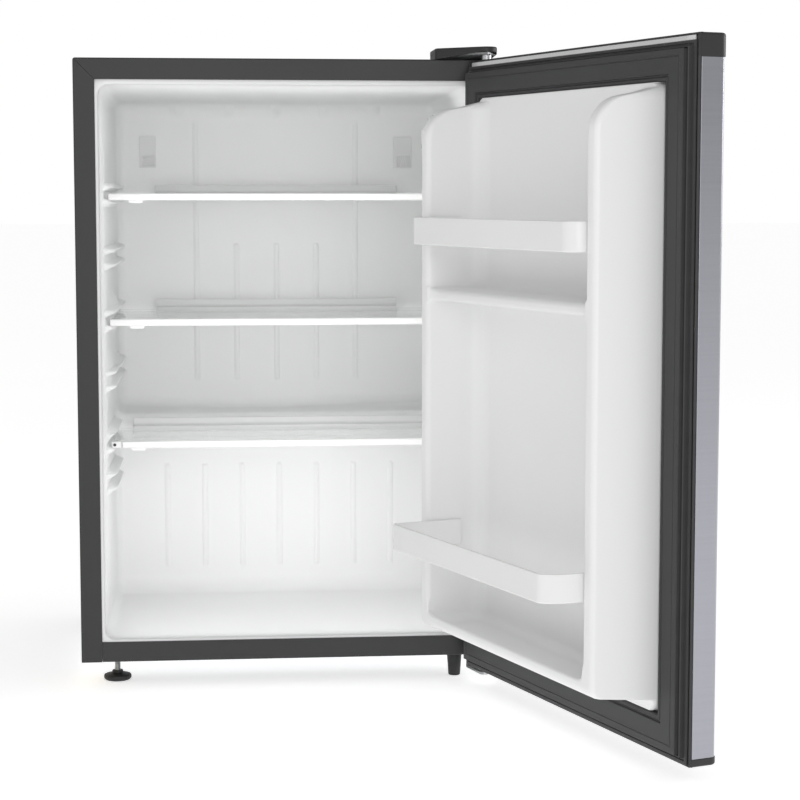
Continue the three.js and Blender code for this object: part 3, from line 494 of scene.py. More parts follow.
def spread(stops, widest):
    """Sorted values with more put between any two that are further apart than widest."""
    stops = np.unique(np.round(stops, 3))
    filled = [stops[:1]]
    for low, high in zip(stops[:-1], stops[1:]):
        count = max(1, math.ceil((high - low) / widest))
        filled.append(np.linspace(low, high, count + 1)[1:])
    return np.concatenate(filled)


ridge_lines = np.array((-6.4, -5.2, -4.0, -2.7, 0, 2.7, 4.0, 5.2, 6.4))
ledge_lines = [level + step for level in LEVELS for centre in LEDGE_CENTRES for step in centre + ridge_lines]
bead_ends = [z + step for z in (367, 574, 754, 103, 256) for step in (-4.25, -2.1, 0, 2.1, 4.25)]
ceiling_slope = -CEILING_DROP / LINER_DEEP
floor_slope = FLOOR_RISE / LINER_DEEP
corners = [(MOUTH, OPENING_HIGH + ceiling_slope * MOUTH), (LINER_DEEP, OPENING_HIGH - CEILING_DROP),
           (LINER_DEEP, STEP_TOP), (STEP_FRONT, STEP_TOP),
           (STEP_FRONT, OPENING_LOW + floor_slope * STEP_FRONT),
           (MOUTH, OPENING_LOW + floor_slope * MOUTH)]
CORNER_RADII = (0, 21, 18, 18, 26, 0)
ARC = 8
outline = rounded(corners, CORNER_RADII, ARC)
arcs = [outline[1 + k * (ARC + 1):1 + (k + 1) * (ARC + 1)] for k in range(4)]

front_columns = np.concatenate((spread([MOUTH, 12, 60, LEDGE_STARTS, 78, 90, 103, 116, LEDGE_FULL, 253], 26),
                                (279, 284, 289, 294)))
step_columns = spread([arcs[2][0][0] + 3, 350, 384, 390, 396, arcs[1][-1][0] - 3], 14)
back_rows = np.array([z for z in ledge_lines + bead_ends if arcs[1][0][1] + 8 < z < arcs[0][-1][1] - 8])
back_rows = spread(np.concatenate(([arcs[1][0][1] + 3], back_rows, [arcs[0][-1][1] - 3])), 24)
face_rows = np.array([z for z in ledge_lines + bead_ends if arcs[3][0][1] + 8 < z < arcs[2][-1][1] - 3])
face_rows = spread(np.concatenate(([arcs[3][0][1] + 3], face_rows)), 24)
MID = ARC // 2


def level_line(columns, start, end):
    """Points at the given depths on the straight line from start to end."""
    return np.stack((columns, np.interp(columns, (start[0], end[0]), (start[1], end[1]))), -1)


def patch(top, bottom, left, right):
    """A grid between four edges: opposite edges blended, less the blend of the corners (a Coons patch)."""
    u = np.linspace(0, 1, len(top))[None, :, None]
    v = np.linspace(0, 1, len(left))[:, None, None]
    across = (1 - v) * top[None] + v * bottom[None]
    down = (1 - u) * left[:, None] + u * right[:, None]
    bent = (1 - v) * ((1 - u) * top[0] + u * top[-1]) + v * ((1 - u) * bottom[0] + u * bottom[-1])
    return across + down - bent


# The outline from the ceiling's front, down the back, over the gutter and the step, to the floor's front.
to_corner = np.linspace(front_columns[-1], arcs[0][0][0], len(step_columns) + MID + 3)[1:-1]
ceiling = level_line(np.concatenate((front_columns, to_corner)), corners[0], corners[1])
floor = level_line(front_columns[:-MID], corners[5], corners[4])
back_line = np.stack((np.full_like(back_rows, LINER_DEEP), back_rows), -1)[::-1]
step_line = np.stack((step_columns, np.full_like(step_columns, STEP_TOP)), -1)[::-1]
face_line = np.stack((np.full_like(face_rows, STEP_FRONT), face_rows), -1)[::-1]
path = np.concatenate((ceiling, arcs[0], back_line, arcs[1], step_line, arcs[2], face_line, arcs[3],
                       floor[::-1]))
corner_mid = len(ceiling) + MID
gutter_mid = corner_mid + ARC + 1 + len(back_line)
nose_mid = gutter_mid + ARC + 1 + len(step_line)
foot_mid = nose_mid + ARC + 1 + len(face_line)
ahead = np.diff(path, axis=0)
ahead /= np.linalg.norm(ahead, axis=1)[:, None]
along = np.concatenate((ahead[:1], ahead[:-1] + ahead[1:], ahead[-1:]))
along /= np.linalg.norm(along, axis=1)[:, None]
inward = np.stack((along[:, 1], -along[:, 0]), -1)
wall_edge = path + inward * WALL_FILLET

# The belt: the outline carried from wall to wall, with a quarter-round fillet at each side.
core_half = OPENING_HALF - WALL_FILLET
back_scale = (liner_wall_x(LINER_DEEP) - WALL_FILLET) / core_half
face_scale = (liner_wall_x(STEP_FRONT) - WALL_FILLET) / core_half
bead_lines = np.array((-1.12, -1, -0.7, -0.35, 0, 0.35, 0.7, 1, 1.12)) * BEAD_WIDE / 2
flat_x = np.concatenate([(x + bead_lines) / back_scale for x, low, high in BACK_BEADS]
                        + [(x + bead_lines) / face_scale for x, low, high in STEP_BEADS]
                        + [x + np.array((-9, -4.5, 0, 4.5, 9)) for x in CEILING_STUDS]
                        + [(-core_half, core_half, DRAIN_X)])
flat_x = spread(flat_x, 26)
turn = np.linspace(0, math.pi / 2, 7)[1:]
bend = WALL_FILLET * (1 - np.cos(turn))
lift = np.concatenate((bend[::-1], np.zeros(len(flat_x)), bend))
belt_y = path[:, :1] + inward[:, :1] * lift
belt_z = path[:, 1:] + inward[:, 1:] * lift
flat_share = np.concatenate((-np.ones(len(turn)), flat_x / core_half, np.ones(len(turn))))
round_share = np.concatenate((-np.sin(turn)[::-1], np.zeros(len(flat_x)), np.sin(turn)))
belt_x = flat_share * (liner_wall_x(belt_y) - WALL_FILLET) + round_share * WALL_FILLET
belt = liner_gutter(np.stack((belt_x, belt_y, belt_z), -1))
on_back = slice(corner_mid + MID + 1, gutter_mid - MID)
on_face = slice(nose_mid + MID + 1, foot_mid - MID)
belt[on_back, :, 1] -= beads(belt[on_back], BACK_BEADS, belt[on_back, :, 2])
belt[on_face, :, 1] -= beads(belt[on_face], STEP_BEADS, belt[on_face, :, 2])
stud_share = np.clip(1 - np.abs(belt[:, :, 0, None] - CEILING_STUDS) / 9.5, 0, 1).max(-1)
in_corner = np.zeros(len(path))
in_corner[len(ceiling):len(ceiling) + ARC + 1] = np.sin(np.linspace(0, math.pi, ARC + 1))
stud = 4.5 * in_corner[:, None] * stud_share ** 0.6
belt[:, :, 1] += inward[:, :1] * stud
belt[:, :, 2] += inward[:, 1:] * stud

# The side walls fill the rest: one patch above the step's nose and one below it.
nose = wall_edge[nose_mid]
divide = np.stack((front_columns, np.full_like(front_columns, nose[1])), -1)
upper_right = wall_edge[corner_mid:gutter_mid + 1]
upper_left_z = upper_right[:, 1].copy()
upper_left_z[:MID + 1] = np.linspace(wall_edge[0, 1], upper_left_z[MID + 1], MID + 2)[:-1]
upper_left_z[-MID - 1:] = np.linspace(upper_left_z[-MID - 2], nose[1], MID + 2)[1:]
lower_right = wall_edge[nose_mid:foot_mid + 1]
lower_left_z = lower_right[:, 1].copy()
lower_left_z[:MID + 1] = np.linspace(nose[1], lower_left_z[MID + 1], MID + 2)[:-1]
lower_left_z[-MID - 1:] = np.linspace(lower_left_z[-MID - 2], wall_edge[-1, 1], MID + 2)[1:]
upper_left = np.stack((np.linspace(wall_edge[0, 0], MOUTH, len(upper_left_z)), upper_left_z), -1)
lower_left = np.stack((np.linspace(MOUTH, wall_edge[-1, 0], len(lower_left_z)), lower_left_z), -1)
upper_bottom = np.concatenate((divide, wall_edge[gutter_mid:nose_mid + 1][::-1]))
upper = patch(wall_edge[:corner_mid + 1], upper_bottom, upper_left, upper_right)
lower = patch(np.concatenate((divide, nose[None])), wall_edge[foot_mid:][::-1], lower_left, lower_right)
liner_parts = [grid(belt)]
for side in (-1, 1):
    for flat in (upper, lower):
        wall_x = side * (liner_wall_x(flat[..., 0]) - ledge_height(flat[..., 0], flat[..., 1]))
        liner_parts.append(grid(liner_gutter(np.stack((wall_x, flat[..., 0], flat[..., 1]), -1))))

# The rim rolls outwards at the mouth and runs in behind the painted frame.
front_edge = np.concatenate((upper_left, lower_left[1:]))
right_front = np.stack((liner_wall_x(front_edge[:, 0]), front_edge[:, 0], front_edge[:, 1]), -1)
left_front = right_front * (-1, 1, 1)
mouth = np.concatenate((belt[0], right_front[1:], belt[-1][::-1][1:], left_front[::-1][1:-1]))
beside = np.roll(mouth, -1, 0) - np.roll(mouth, 1, 0)
outward = np.stack((-beside[:, 2], np.zeros(len(mouth)), beside[:, 0]), -1)
outward /= np.linalg.norm(outward, axis=1)[:, None]
RIM_ROLL, RIM_FACE, RIM_HIDDEN = 3.0, 1.15, 3.0
rim_turn = np.linspace(0, math.pi / 2, 6)[1:]
rim_rows = [mouth]
for out, share in zip(RIM_ROLL * (1 - np.cos(rim_turn)), np.sin(rim_turn)):
    row = mouth + outward * out
    row[:, 1] = mouth[:, 1] * (1 - share) + RIM_FACE * share
    rim_rows.append(row)
# Behind the frame the rim is a plain rectangle: each point runs on outwards until it meets it.
rim_half = half_width - FRAME_WIDE + RIM_HIDDEN
rim_high, rim_low = shell_top - FRAME_WIDE + RIM_HIDDEN, rail_high[2] - RIM_HIDDEN
rim_tall, rim_middle = (rim_high - rim_low) / 2, (rim_high + rim_low) / 2
to_side = (rim_half - np.abs(row[:, 0])) / np.maximum(np.abs(outward[:, 0]), 1e-6)
to_end = (rim_tall - np.abs(row[:, 2] - rim_middle)) / np.maximum(np.abs(outward[:, 2]), 1e-6)
row = row + outward * np.minimum(to_side, to_end)[:, None]
rim_rows.append(row)
liner_parts.append(grid(np.stack(rim_rows), wrap_columns=True))


def soft_white(low, high, gloss):
    """Formed white plastic: a slow drift in shade, a faint large ripple from forming and a fine grain."""
    def dress(here):
        drift = here.noise(5, 2)
        grain = here.noise(1500, 2)
        return {
            "Base Color": drift.between(low, high),
            "Roughness": gloss + 0.08 * here.noise(30, 2) + 0.05 * grain,
            "relief": 0.05 * here.noise(60, 1) + 0.012 * grain,
        }
    return dress


liner_white = material("liner_white", {"Specular IOR Level": 0.4},
                       soft_white((0.885, 0.887, 0.885), (0.905, 0.907, 0.906), 0.30))


def thicken(made, thick=1.6):
    """Gives a formed sheet its wall, on the side away from its faces."""
    wall = made.modifiers.new("wall", "SOLIDIFY")
    wall.thickness = thick * MM
    wall.offset = -1


thicken(piece("liner_shell", liner_parts, liner_white, "cabinet", ["inner_liner"],
              towards=(0, 150, 450), sharp=50))

# --- evaporator and foam --------------------------------------------------------------------------
# Behind the liner's back wall lies a roll-bonded aluminium cold plate. Rigid foam poured between the liner
# and the sheet metal holds all of it together. Both are hidden once the cabinet is closed.
def rolled_plate(here):
    """Mill-finish aluminium: fine lines along the rolling direction and dull patches."""
    lines = here.stretched(3, 3, 900).noise(1, 2)
    return {
        "Base Color": here.noise(12).between((0.60, 0.61, 0.62), (0.70, 0.71, 0.72)),
        "Roughness": 0.34 + 0.16 * lines,
        "relief": 0.02 * lines,
    }


def poured_foam(here):
    """Foam skin: yellow-brown blotches over small round cells."""
    cells = here.noise(260, 3, 0.6)
    return {
        "Base Color": here.noise(14, 3).between((0.66, 0.50, 0.24), (0.80, 0.66, 0.38)),
        "Roughness": 0.85 + 0.12 * cells,
        "relief": 0.6 * cells + 0.15 * here.noise(900, 2),
    }


def dress_node(name, look):
    """A CAD node that shows as it is takes a material and a slot."""
    solid = frame["nodes"][name]
    solid.data.materials.clear()
    solid.data.materials.append(look)


aluminium = material("rolled_aluminium", {"Metallic": 1.0}, rolled_plate)
foam = material("foam", {"Specular IOR Level": 0.2}, poured_foam)
dress_node("evaporator_plate", aluminium)
dress_node("foam_insulation", foam)

# --- shelves --------------------------------------------------------------------------------------
# Three shelves of 4 mm tempered glass. A white moulded trim with two lugs is pushed onto each front edge, and
# a moulded stop stands up from the back edge. They slide in the liner's ledges.
def greenish_glass(here):
    """Clear glass with faint smears that change only its roughness."""
    return {"Roughness": 0.01 + 0.03 * here.noise(14, 3)}


def moulded_white(here):
    """Glossy moulding: a trace of flow marks in the gloss and a faint ripple."""
    flow = here.noise(18, 3)
    return {
        "Base Color": here.noise(7).between((0.86, 0.862, 0.86), (0.89, 0.892, 0.89)),
        "Roughness": 0.20 + 0.10 * flow,
        "relief": 0.03 * flow + 0.006 * here.noise(1800, 1),
    }


def shaded_shelf_moulding(here):
    """The same moulding on the shelves, less glossy. Its colour is darkened to a greyer white as painted
    shade against the strong light on the shelf fronts.
    """
    flow = here.noise(22, 3)
    return {
        "Base Color": here.noise(9).between((0.74, 0.742, 0.74), (0.77, 0.772, 0.77)),
        "Roughness": 0.30 + 0.10 * flow,
        "relief": 0.03 * flow + 0.006 * here.noise(1800, 1),
    }


clear = {"Base Color": (0.93, 0.975, 0.96, 1), "Transmission Weight": 1.0, "IOR": 1.5, "Alpha": 0.5}
glass = material("shelf_glass", clear, greenish_glass)
trim_white = material("trim_white", {"Specular IOR Level": 0.5}, moulded_white)
# The shelf trims take a darker copy of the white moulding. The darker tone is painted shade.
shaded_shelf_white = material("shaded_shelf_white", {"Specular IOR Level": 0.5}, shaded_shelf_moulding)
TRIM_FRONT, TRIM_BACK, TRIM_BELOW, TRIM_TALL = 100.0, 116.0, 2.6, 9.4
TRIM_HALF, REAR_TRIM_HALF = 235.3, 180.0
LUG_MIDDLES = (-199.0, 199.0)
GLASS_HALF, GLASS_THICK = 234.0, 4.0
END_STUD = (-231.0, 308.6)


def shelf_trim(under, left):
    """The front trim: a rounded bar with a shallow groove behind its nose, and two lugs under it."""
    low, high = under - TRIM_BELOW, under - TRIM_BELOW + TRIM_TALL
    corners = [(TRIM_FRONT, low), (TRIM_BACK, low + 0.6), (TRIM_BACK, high - 1.0),
               (TRIM_FRONT + 6.5, high - 1.0),
               (TRIM_FRONT + 5.5, high), (TRIM_FRONT, high)]
    section = rounded(corners, (2.6, 1.2, 1.2, 0.4, 0.8, 2.6), 5, loop=True)
    parts = pillow(section, left, TRIM_HALF, 1.6, 1.6, "x")
    for middle in LUG_MIDDLES:
        lug = box_ring(middle - 10, middle + 10, low - 3.6, low + 4, 3.2, 5)
        parts += pillow(lug, TRIM_FRONT + 3, TRIM_BACK - 3, 1.2, 1.2, "y")
    return parts


def shelf_stop(under, back, half):
    """The rear trim: a foot that grips the glass and a thin fin that stops food at the wall."""
    low = under - TRIM_BELOW
    corners = [(back - 11, low), (back, low), (back, low + 21), (back - 3, low + 21), (back - 4.6, under + 9),
               (back - 11, under + 7)]
    section = rounded(corners, (1.4, 1.0, 1.2, 1.2, 4.0, 1.2), 5, loop=True)
    return pillow(section, -half, half, 1.2, 1.2, "x")


shelf_rows = (("upper_shelf", 641.5, 400, -TRIM_HALF, REAR_TRIM_HALF),
              ("middle_shelf", 472.5, 400, -TRIM_HALF, REAR_TRIM_HALF),
              ("lower_shelf", 306.5, 294, -221, 212))
for shelf, under, back, left, half in shelf_rows:
    plan = box_ring(-GLASS_HALF, GLASS_HALF, TRIM_FRONT + 6, back - 3, 3, 4)
    pane = pillow(plan, under, under + GLASS_THICK, 0.7, 0.7)
    piece(shelf + "_pane", pane, glass, shelf, [shelf + "_glass"])
    piece(shelf + "_nose", shelf_trim(under, left), shaded_shelf_white, shelf,
          [shelf + "_front_trim"])
    piece(shelf + "_stop", shelf_stop(under, back, half), shaded_shelf_white, shelf,
          [shelf + "_rear_trim"])
# The lower shelf's trim ends in a small block with a black stud in its face.
end_block = pillow(box_ring(-235.3, -221.5, TRIM_FRONT + 3, TRIM_BACK, 1.5, 4), 304.2, 312.6, 0.8, 0.8)
end_stud = turned([(2, TRIM_FRONT + 2.2), (2, TRIM_FRONT + 8)], *END_STUD, 24, "y")
piece("lower_shelf_end", end_block, shaded_shelf_white, "lower_shelf", ["lower_shelf_front_trim"])


# --- grilles on the back wall ---------------------------------------------------------------------
# Two small moulded plates clipped to the liner's back wall. Each has a plain field over a block of fine ribs,
# level on the left one and upright on the right one.
RIBS, RIB_HALF = 7, 0.8
GRILLE_LOW, GRILLE_HIGH = 686.0, 733.0


def grille(left, right, low, high, upright):
    """A thin rounded plate with a row of half-round ribs over its foot."""
    parts = pillow(box_ring(left, right, low, high, 2.0, 4), LINER_DEEP - 1.7, LINER_DEEP + 0.4, 0.5, 0.2,
                   "y")
    x0, x1, z0, z1 = left + 4, right - 1.5, low + 1.5, low + 18.5
    for share in (np.arange(RIBS) + 0.5) / RIBS:
        across, up = x0 + share * (x1 - x0), z0 + share * (z1 - z0)
        bounds = (across - RIB_HALF, across + RIB_HALF, z0, z1) if upright else (x0, x1, up - RIB_HALF,
                                                                                 up + RIB_HALF)
        parts += pillow(box_ring(*bounds, 0.7, 3), LINER_DEEP - 3.0, LINER_DEEP - 1.0, 0.7, 0.1, "y")
    return parts


grille_white = material("grille_white", {"Specular IOR Level": 0.4},
                        soft_white((0.80, 0.802, 0.80), (0.83, 0.832, 0.83), 0.36))
left_parts = grille(-203, -178, GRILLE_LOW, GRILLE_HIGH, False)
right_parts = grille(177, 205, GRILLE_LOW, GRILLE_HIGH, True)
piece("left_grille", left_parts, grille_white, "cabinet",
      ["inner_liner"])
piece("right_grille", right_parts, grille_white, "cabinet",
      ["inner_liner"])

# --- door liner -----------------------------------------------------------------------------------
# One vacuum-formed white panel. Two hollow dykes run down its sides, a ledge and a bin are formed between
# them, and its flat flange is clamped under the steel skin's hem. The gasket is pressed into the flange.
DOOR_HALF = 274.0
DOOR_INNER, DOOR_OUTER = -12.7, -50.1
DOOR_LOW, DOOR_HIGH = 22.7, 818.8
PLATEAU, CREST = 15.0, 94.0
PANEL_LOW, PANEL_HIGH = 73.7, 767.8
DYKE_INNER, DYKE_OUTER, DYKE_FOOT = 200.0, 221.6, 222.8
SHOULDER = 39.0
SHOULDER_TOP, SHOULDER_FOOT = 754.0, 763.8
CORNER_CUT = 14.0
FLANGE_X = 266.4
panel = np.array([(0, 73.7), (15, 74.7), (15, 88), (94, 97), (94, 113), (88, 113), (88, 101), (15, 101),
                  (15, 515),
                  (88, 515), (88, 529), (15, 529), (15, 767.8)], float)
PANEL_RADII = (0, 3, 6, 12, 2.4, 2.4, 5, 12, 10, 4.5, 6, 10, 0)


def rounded_with_share(corners, radii, steps):
    """Like rounded, with each point's place along the unrounded line counted in corners, from 0 up."""
    lengths = np.linalg.norm(np.diff(corners, axis=0), axis=1)
    shares = []
    for index, radius in enumerate(radii):
        if radius == 0:
            shares.append([index])
            continue
        back = (corners[index - 1] - corners[index]) / lengths[index - 1]
        forth = (corners[index + 1] - corners[index]) / lengths[index]
        reach = radius / math.tan(math.acos(np.clip(back @ forth, -1, 1)) / 2)
        before, after = index - reach / lengths[index - 1], index + reach / lengths[index]
        shares.append(np.interp(np.linspace(0, 1, steps + 1), (0, 0.5, 1), (before, index, after)))
    return rounded(corners, radii, steps), np.concatenate(shares)


panel_line, panel_share = rounded_with_share(panel, PANEL_RADII, 6)
shoulder_turn = np.linspace(0, math.pi / 2, 11)
upper_z = np.concatenate((np.linspace(560, SHOULDER_TOP - SHOULDER, 5), SHOULDER_TOP - SHOULDER
                          + SHOULDER * np.sin(shoulder_turn)[1:], (757, 760.5, SHOULDER_FOOT, 766)))
upper_share = 11 + (upper_z - 529) / (PANEL_HIGH - 529)
extra = np.concatenate((np.linspace(2.15, 2.85, 5), np.linspace(6.1, 6.8, 4), np.linspace(7.06, 7.94, 14),
                        np.linspace(8.2, 8.85, 4), np.linspace(10.15, 10.8, 4), upper_share))
shares = np.unique(np.round(np.concatenate((panel_share, extra)), 5))
keep = np.concatenate(([True], np.diff(shares) > 0.004))
shares = shares[keep]
middle_v = np.interp(shares, panel_share, panel_line[:, 0])
middle_z = np.interp(shares, panel_share, panel_line[:, 1])
# On the dykes the same rows climb steadily, so that the bin and the ledge run into them with soft corners.
lip_start = 4 - 2.4 / 16
level_170 = 7 + (170 - 101) / 414
level_480 = 7 + (480 - 101) / 414
level_580 = 11 + (580 - 529) / (PANEL_HIGH - 529)
dyke_z = np.interp(shares, (lip_start, 4, 5, 6, 7, level_170, level_480, 8, 9, 10, 11, level_580),
                   (110.6, 116, 125, 131, 141, 178, 480, 503, 513, 531, 541, 580))
dyke_z = np.where(shares < lip_start, middle_z, np.where(shares > level_580, middle_z, dyke_z))
over = np.clip(dyke_z - (SHOULDER_TOP - SHOULDER), 0, SHOULDER)
shoulder_v = CREST - SHOULDER + np.sqrt(SHOULDER ** 2 - over ** 2)
slope_v = np.interp(dyke_z, (SHOULDER_TOP, SHOULDER_FOOT), (CREST - SHOULDER, PLATEAU))
dyke_v = np.where(dyke_z > SHOULDER_TOP, slope_v, shoulder_v)
dyke_v = np.where(shares < lip_start, middle_v, dyke_v)
# Flat flange rows below and above, at depth 0, and the panel's own small step at the top.
flange_low = np.array((DOOR_LOW + 2.8, 48.0, PANEL_LOW - 0.4))
flange_high = np.array((PANEL_HIGH + 1.4, 790.0, DOOR_HIGH - 2.8))
middle_v = np.concatenate((np.zeros(3), middle_v, (PLATEAU - 0.7, PLATEAU - 2.4), np.zeros(3)))
middle_z = np.concatenate((flange_low, middle_z, (PANEL_HIGH + 0.6, PANEL_HIGH + 0.9), flange_high))
dyke_v = np.concatenate((np.zeros(3), dyke_v, (PLATEAU - 0.7, PLATEAU - 2.4), np.zeros(3)))
dyke_z = np.concatenate((flange_low, dyke_z, (PANEL_HIGH + 0.6, PANEL_HIGH + 0.9), flange_high))
middle_row = np.stack((middle_v, middle_z), -1)
dyke_row = np.stack((dyke_v, dyke_z), -1)
climb = dyke_row - middle_row
height = np.linalg.norm(climb, axis=1)
unit = climb / np.maximum(height, 1e-9)[:, None]
flare_up = np.minimum(24, 0.75 * height)[:, None]
crest_bend = np.minimum(6.5, 0.25 * height)[:, None]
outer_bend = np.minimum(6.5, 0.45 * dyke_v)[:, None]
FLARE_WIDE = 22.0
half_turn = np.linspace(0, math.pi / 2, 8)
small_turn = np.linspace(0, math.pi / 2, 6)
ones = np.ones((len(middle_row), 1))


def column_set(x, base, direction, reach):
    """Columns of points: x for each, and a row point moved by reach along a direction."""
    spots = base[:, None] + direction[:, None] * reach[..., None]
    return np.concatenate((np.broadcast_to(x, reach.shape)[..., None], spots), -1)


to_crest = np.ones_like(middle_row) * (1, 0)
flat_columns = np.linspace(0, DYKE_INNER - FLARE_WIDE, 9)[:-1] * ones
liner_columns = np.concatenate((
    column_set(flat_columns, middle_row, unit, 0 * flat_columns),
    column_set(DYKE_INNER - FLARE_WIDE * (1 - np.sin(half_turn)) * ones, middle_row, unit,
               flare_up * (1 - np.cos(half_turn))),
    column_set(DYKE_INNER + crest_bend * (1 - np.cos(small_turn)), dyke_row, -unit,
               crest_bend * (1 - np.sin(small_turn))),
    column_set(DYKE_OUTER - outer_bend * (1 - np.sin(small_turn)), dyke_row, -to_crest,
               outer_bend * (1 - np.cos(small_turn))),
    column_set(np.array((0.35, 0.7)) * (DYKE_FOOT - DYKE_OUTER) + DYKE_OUTER * ones, dyke_row * (0, 1),
               to_crest,
               (dyke_v[:, None] - outer_bend) * (0.65, 0.3)),
    column_set(np.array((DYKE_FOOT, 247, FLANGE_X)) * ones, dyke_row * (0, 1), to_crest,
               np.zeros((1, 3)) * ones),
), 1)
# The panel's four corners are rounded: everything outside the crests draws in near its top and bottom.
from_end = np.clip(np.minimum(dyke_z - PANEL_LOW, PANEL_HIGH - dyke_z), 0, CORNER_CUT)
drawn_in = CORNER_CUT - np.sqrt(CORNER_CUT ** 2 - (CORNER_CUT - from_end) ** 2)
outside = np.clip((liner_columns[..., 0] - 206) / (DYKE_OUTER - 206), 0, 1) * (liner_columns[..., 0] < 240)
liner_columns[..., 0] -= outside * drawn_in[:, None]
right_half = np.stack((liner_columns[..., 0], DOOR_INNER + liner_columns[..., 1], liner_columns[..., 2]), -1)
door_panel = np.concatenate((right_half[:, :0:-1] * (-1, 1, 1), right_half), 1)
thicken(piece("door_panel", [grid(door_panel)], liner_white, "door", ["door_liner"],
              place=swing, towards=(0, 300, 420), sharp=50))

# The foam core fills the skin from edge to edge between the end caps.
CORE_HALF, CORE_FRONT, CORE_SIDE_BACK, CORE_BACK_HALF, CORE_BACK = 272.6, -45.6, -17.4, 266.0, -14.8
CORE_LOW, CORE_HIGH = 32.4, 792.4
core_plan = rounded([(-CORE_HALF, CORE_FRONT), (CORE_HALF, CORE_FRONT), (CORE_HALF, CORE_SIDE_BACK),
                     (CORE_BACK_HALF, CORE_BACK), (-CORE_BACK_HALF, CORE_BACK), (-CORE_HALF, CORE_SIDE_BACK)],
                    (4, 4, 1, 0.5, 0.5, 1), 5, loop=True)
piece("door_core", pillow(core_plan, CORE_LOW, CORE_HIGH, 0.5, 0.5), foam, "door", ["door_foam"],
      place=swing)

# --- door gasket ----------------------------------------------------------------------------------
# A grey vinyl profile with a magnet inside, welded at its four mitred corners and pressed into the liner's
# flange. From the outside in: a thin sealing fin, the magnet's flat face, a groove and a soft inner lip.
GASKET_OUTSET = 8.0
EDGE_OUTSET = 3.0
gasket_profile = np.array((
    (0, 0.3), (0, 2.3), (0.5, 2.7), (3.2, 2.7), (3.8, 1.4), (5.6, 1.3), (6.2, 2.4), (6.2, 6.2), (6.9, 7.2),
                           (7.6, 7.0),
    (8.4, 5.6), (9.0, 6.2), (9.2, 9.4), (8.4, 10.8), (8.5, 11.9), (9.3, 12.2), (15.2, 12.2), (15.8, 11.5),
                           (16.5, 11.5),
    (17.1, 12.2), (33.6, 12.2), (34.6, 11.6), (35.2, 9.6), (36.6, 9.3), (37.4, 10.6), (38.4, 11.3),
                           (40.4, 11.1),
    (41.6, 10.0), (42, 8.2), (41.8, 2.0), (41.2, 0.3)))


def soft_vinyl(here):
    """Matt vinyl with a dusty bloom and a slight waviness along its length."""
    bloom = here.noise(60, 3)
    return {
        "Base Color": bloom.between((0.040, 0.040, 0.041), (0.058, 0.058, 0.060)),
        "Roughness": 0.46 + 0.16 * bloom,
        "relief": 0.10 * here.noise(25, 2) + 0.02 * here.noise(1300, 2),
    }


def frame_ring(inset, proud):
    """Corners of a rectangle inset from the door's edge, at a depth behind its inner face."""
    near = EDGE_OUTSET + inset * (50 - EDGE_OUTSET) / 42
    half = DOOR_HALF - near
    low, high = DOOR_LOW + near, DOOR_HIGH - GASKET_OUTSET - inset
    x = half[:, None] * (-1, 1, 1, -1)
    z = np.stack((low, low, high, high), -1)
    return np.stack((x, DOOR_INNER + proud[:, None] + 0 * x, z), -1)


def along_frame(rings, widest=60.0):
    """More columns between the corners, evenly spread, so that the shading stays even."""
    closed_rings = np.concatenate((rings, rings[:, :1]), 1)
    filled = []
    for side in range(4):
        start, end = closed_rings[:, side], closed_rings[:, side + 1]
        count = math.ceil(np.linalg.norm(end - start, axis=1).max() / widest)
        share = np.linspace(0, 1, count + 1)[:-1, None]
        filled.append(start[:, None] * (1 - share) + end[:, None] * share)
    return np.concatenate(filled, 1)


vinyl = material("gasket_vinyl", {"Specular IOR Level": 0.35}, soft_vinyl)
gasket_rings = along_frame(frame_ring(gasket_profile[:, 0], gasket_profile[:, 1]))
gasket_and_shade_strip_parts = [grid(gasket_rings, True, True)]
# Two thin dark vinyl strips along each upright edge fill the gap between the liner's flange and the steel
# hem. They are painted shade for the shadowed groove there.
for side in (-1, 1):
    for start, end, depth in ((265.5, 273.6, -2.0), (271.8, 273.6, 0.1)):
        near, far = sorted((side * start, side * end))
        gasket_and_shade_strip_parts += pillow(box_ring(near, far, DOOR_INNER - 3.5, DOOR_INNER + depth, 0.5, 3), DOOR_LOW + 3,
                            DOOR_HIGH - 3, 0.3, 0.3)
piece("gasket", gasket_and_shade_strip_parts, vinyl, "door", ["door_gasket"], place=swing, sharp=38)

# --- door skin and end caps -----------------------------------------------------------------------
# The skin is one sheet of brushed stainless steel folded round both edges and hemmed over the liner. Dark
# moulded caps close its top and bottom and hold the hinge bushes. A white plug fills the unused hinge hole.
SKIN_LOW, SKIN_HIGH = 32.0, 792.9
SKIN_RADIUS = 5.0
SKIN_FACE, SKIN_EDGE = -47.0, -16.3
HEM = 2.6
CAP_LIP = 2.4
CAP_RADIUS = 9.0


def brushed_steel(here):
    """Steel brushed from side to side: long fine scratches in shade, gloss and relief."""
    fine = here.stretched(6, 6, 2600).noise(1, 2)
    broad = here.stretched(4, 4, 420).noise(1, 3)
    return {
        "Base Color": (0.6 * fine + 0.4 * broad).between((0.330, 0.334, 0.368), (0.450, 0.455, 0.495)),
        "Roughness": 0.24 + 0.10 * fine + 0.06 * broad,
        "relief": 0.012 * fine + 0.006 * broad,
    }


def grained_grey(here):
    """Dark moulded plastic with a fine spark-eroded grain and a little wear in its gloss."""
    grain = here.noise(1100, 3, 0.7)
    return {
        "Base Color": here.noise(20).between((0.020, 0.020, 0.021), (0.028, 0.028, 0.029)),
        "Roughness": 0.36 + 0.10 * grain + 0.06 * here.noise(24),
        "relief": 0.022 * grain,
    }


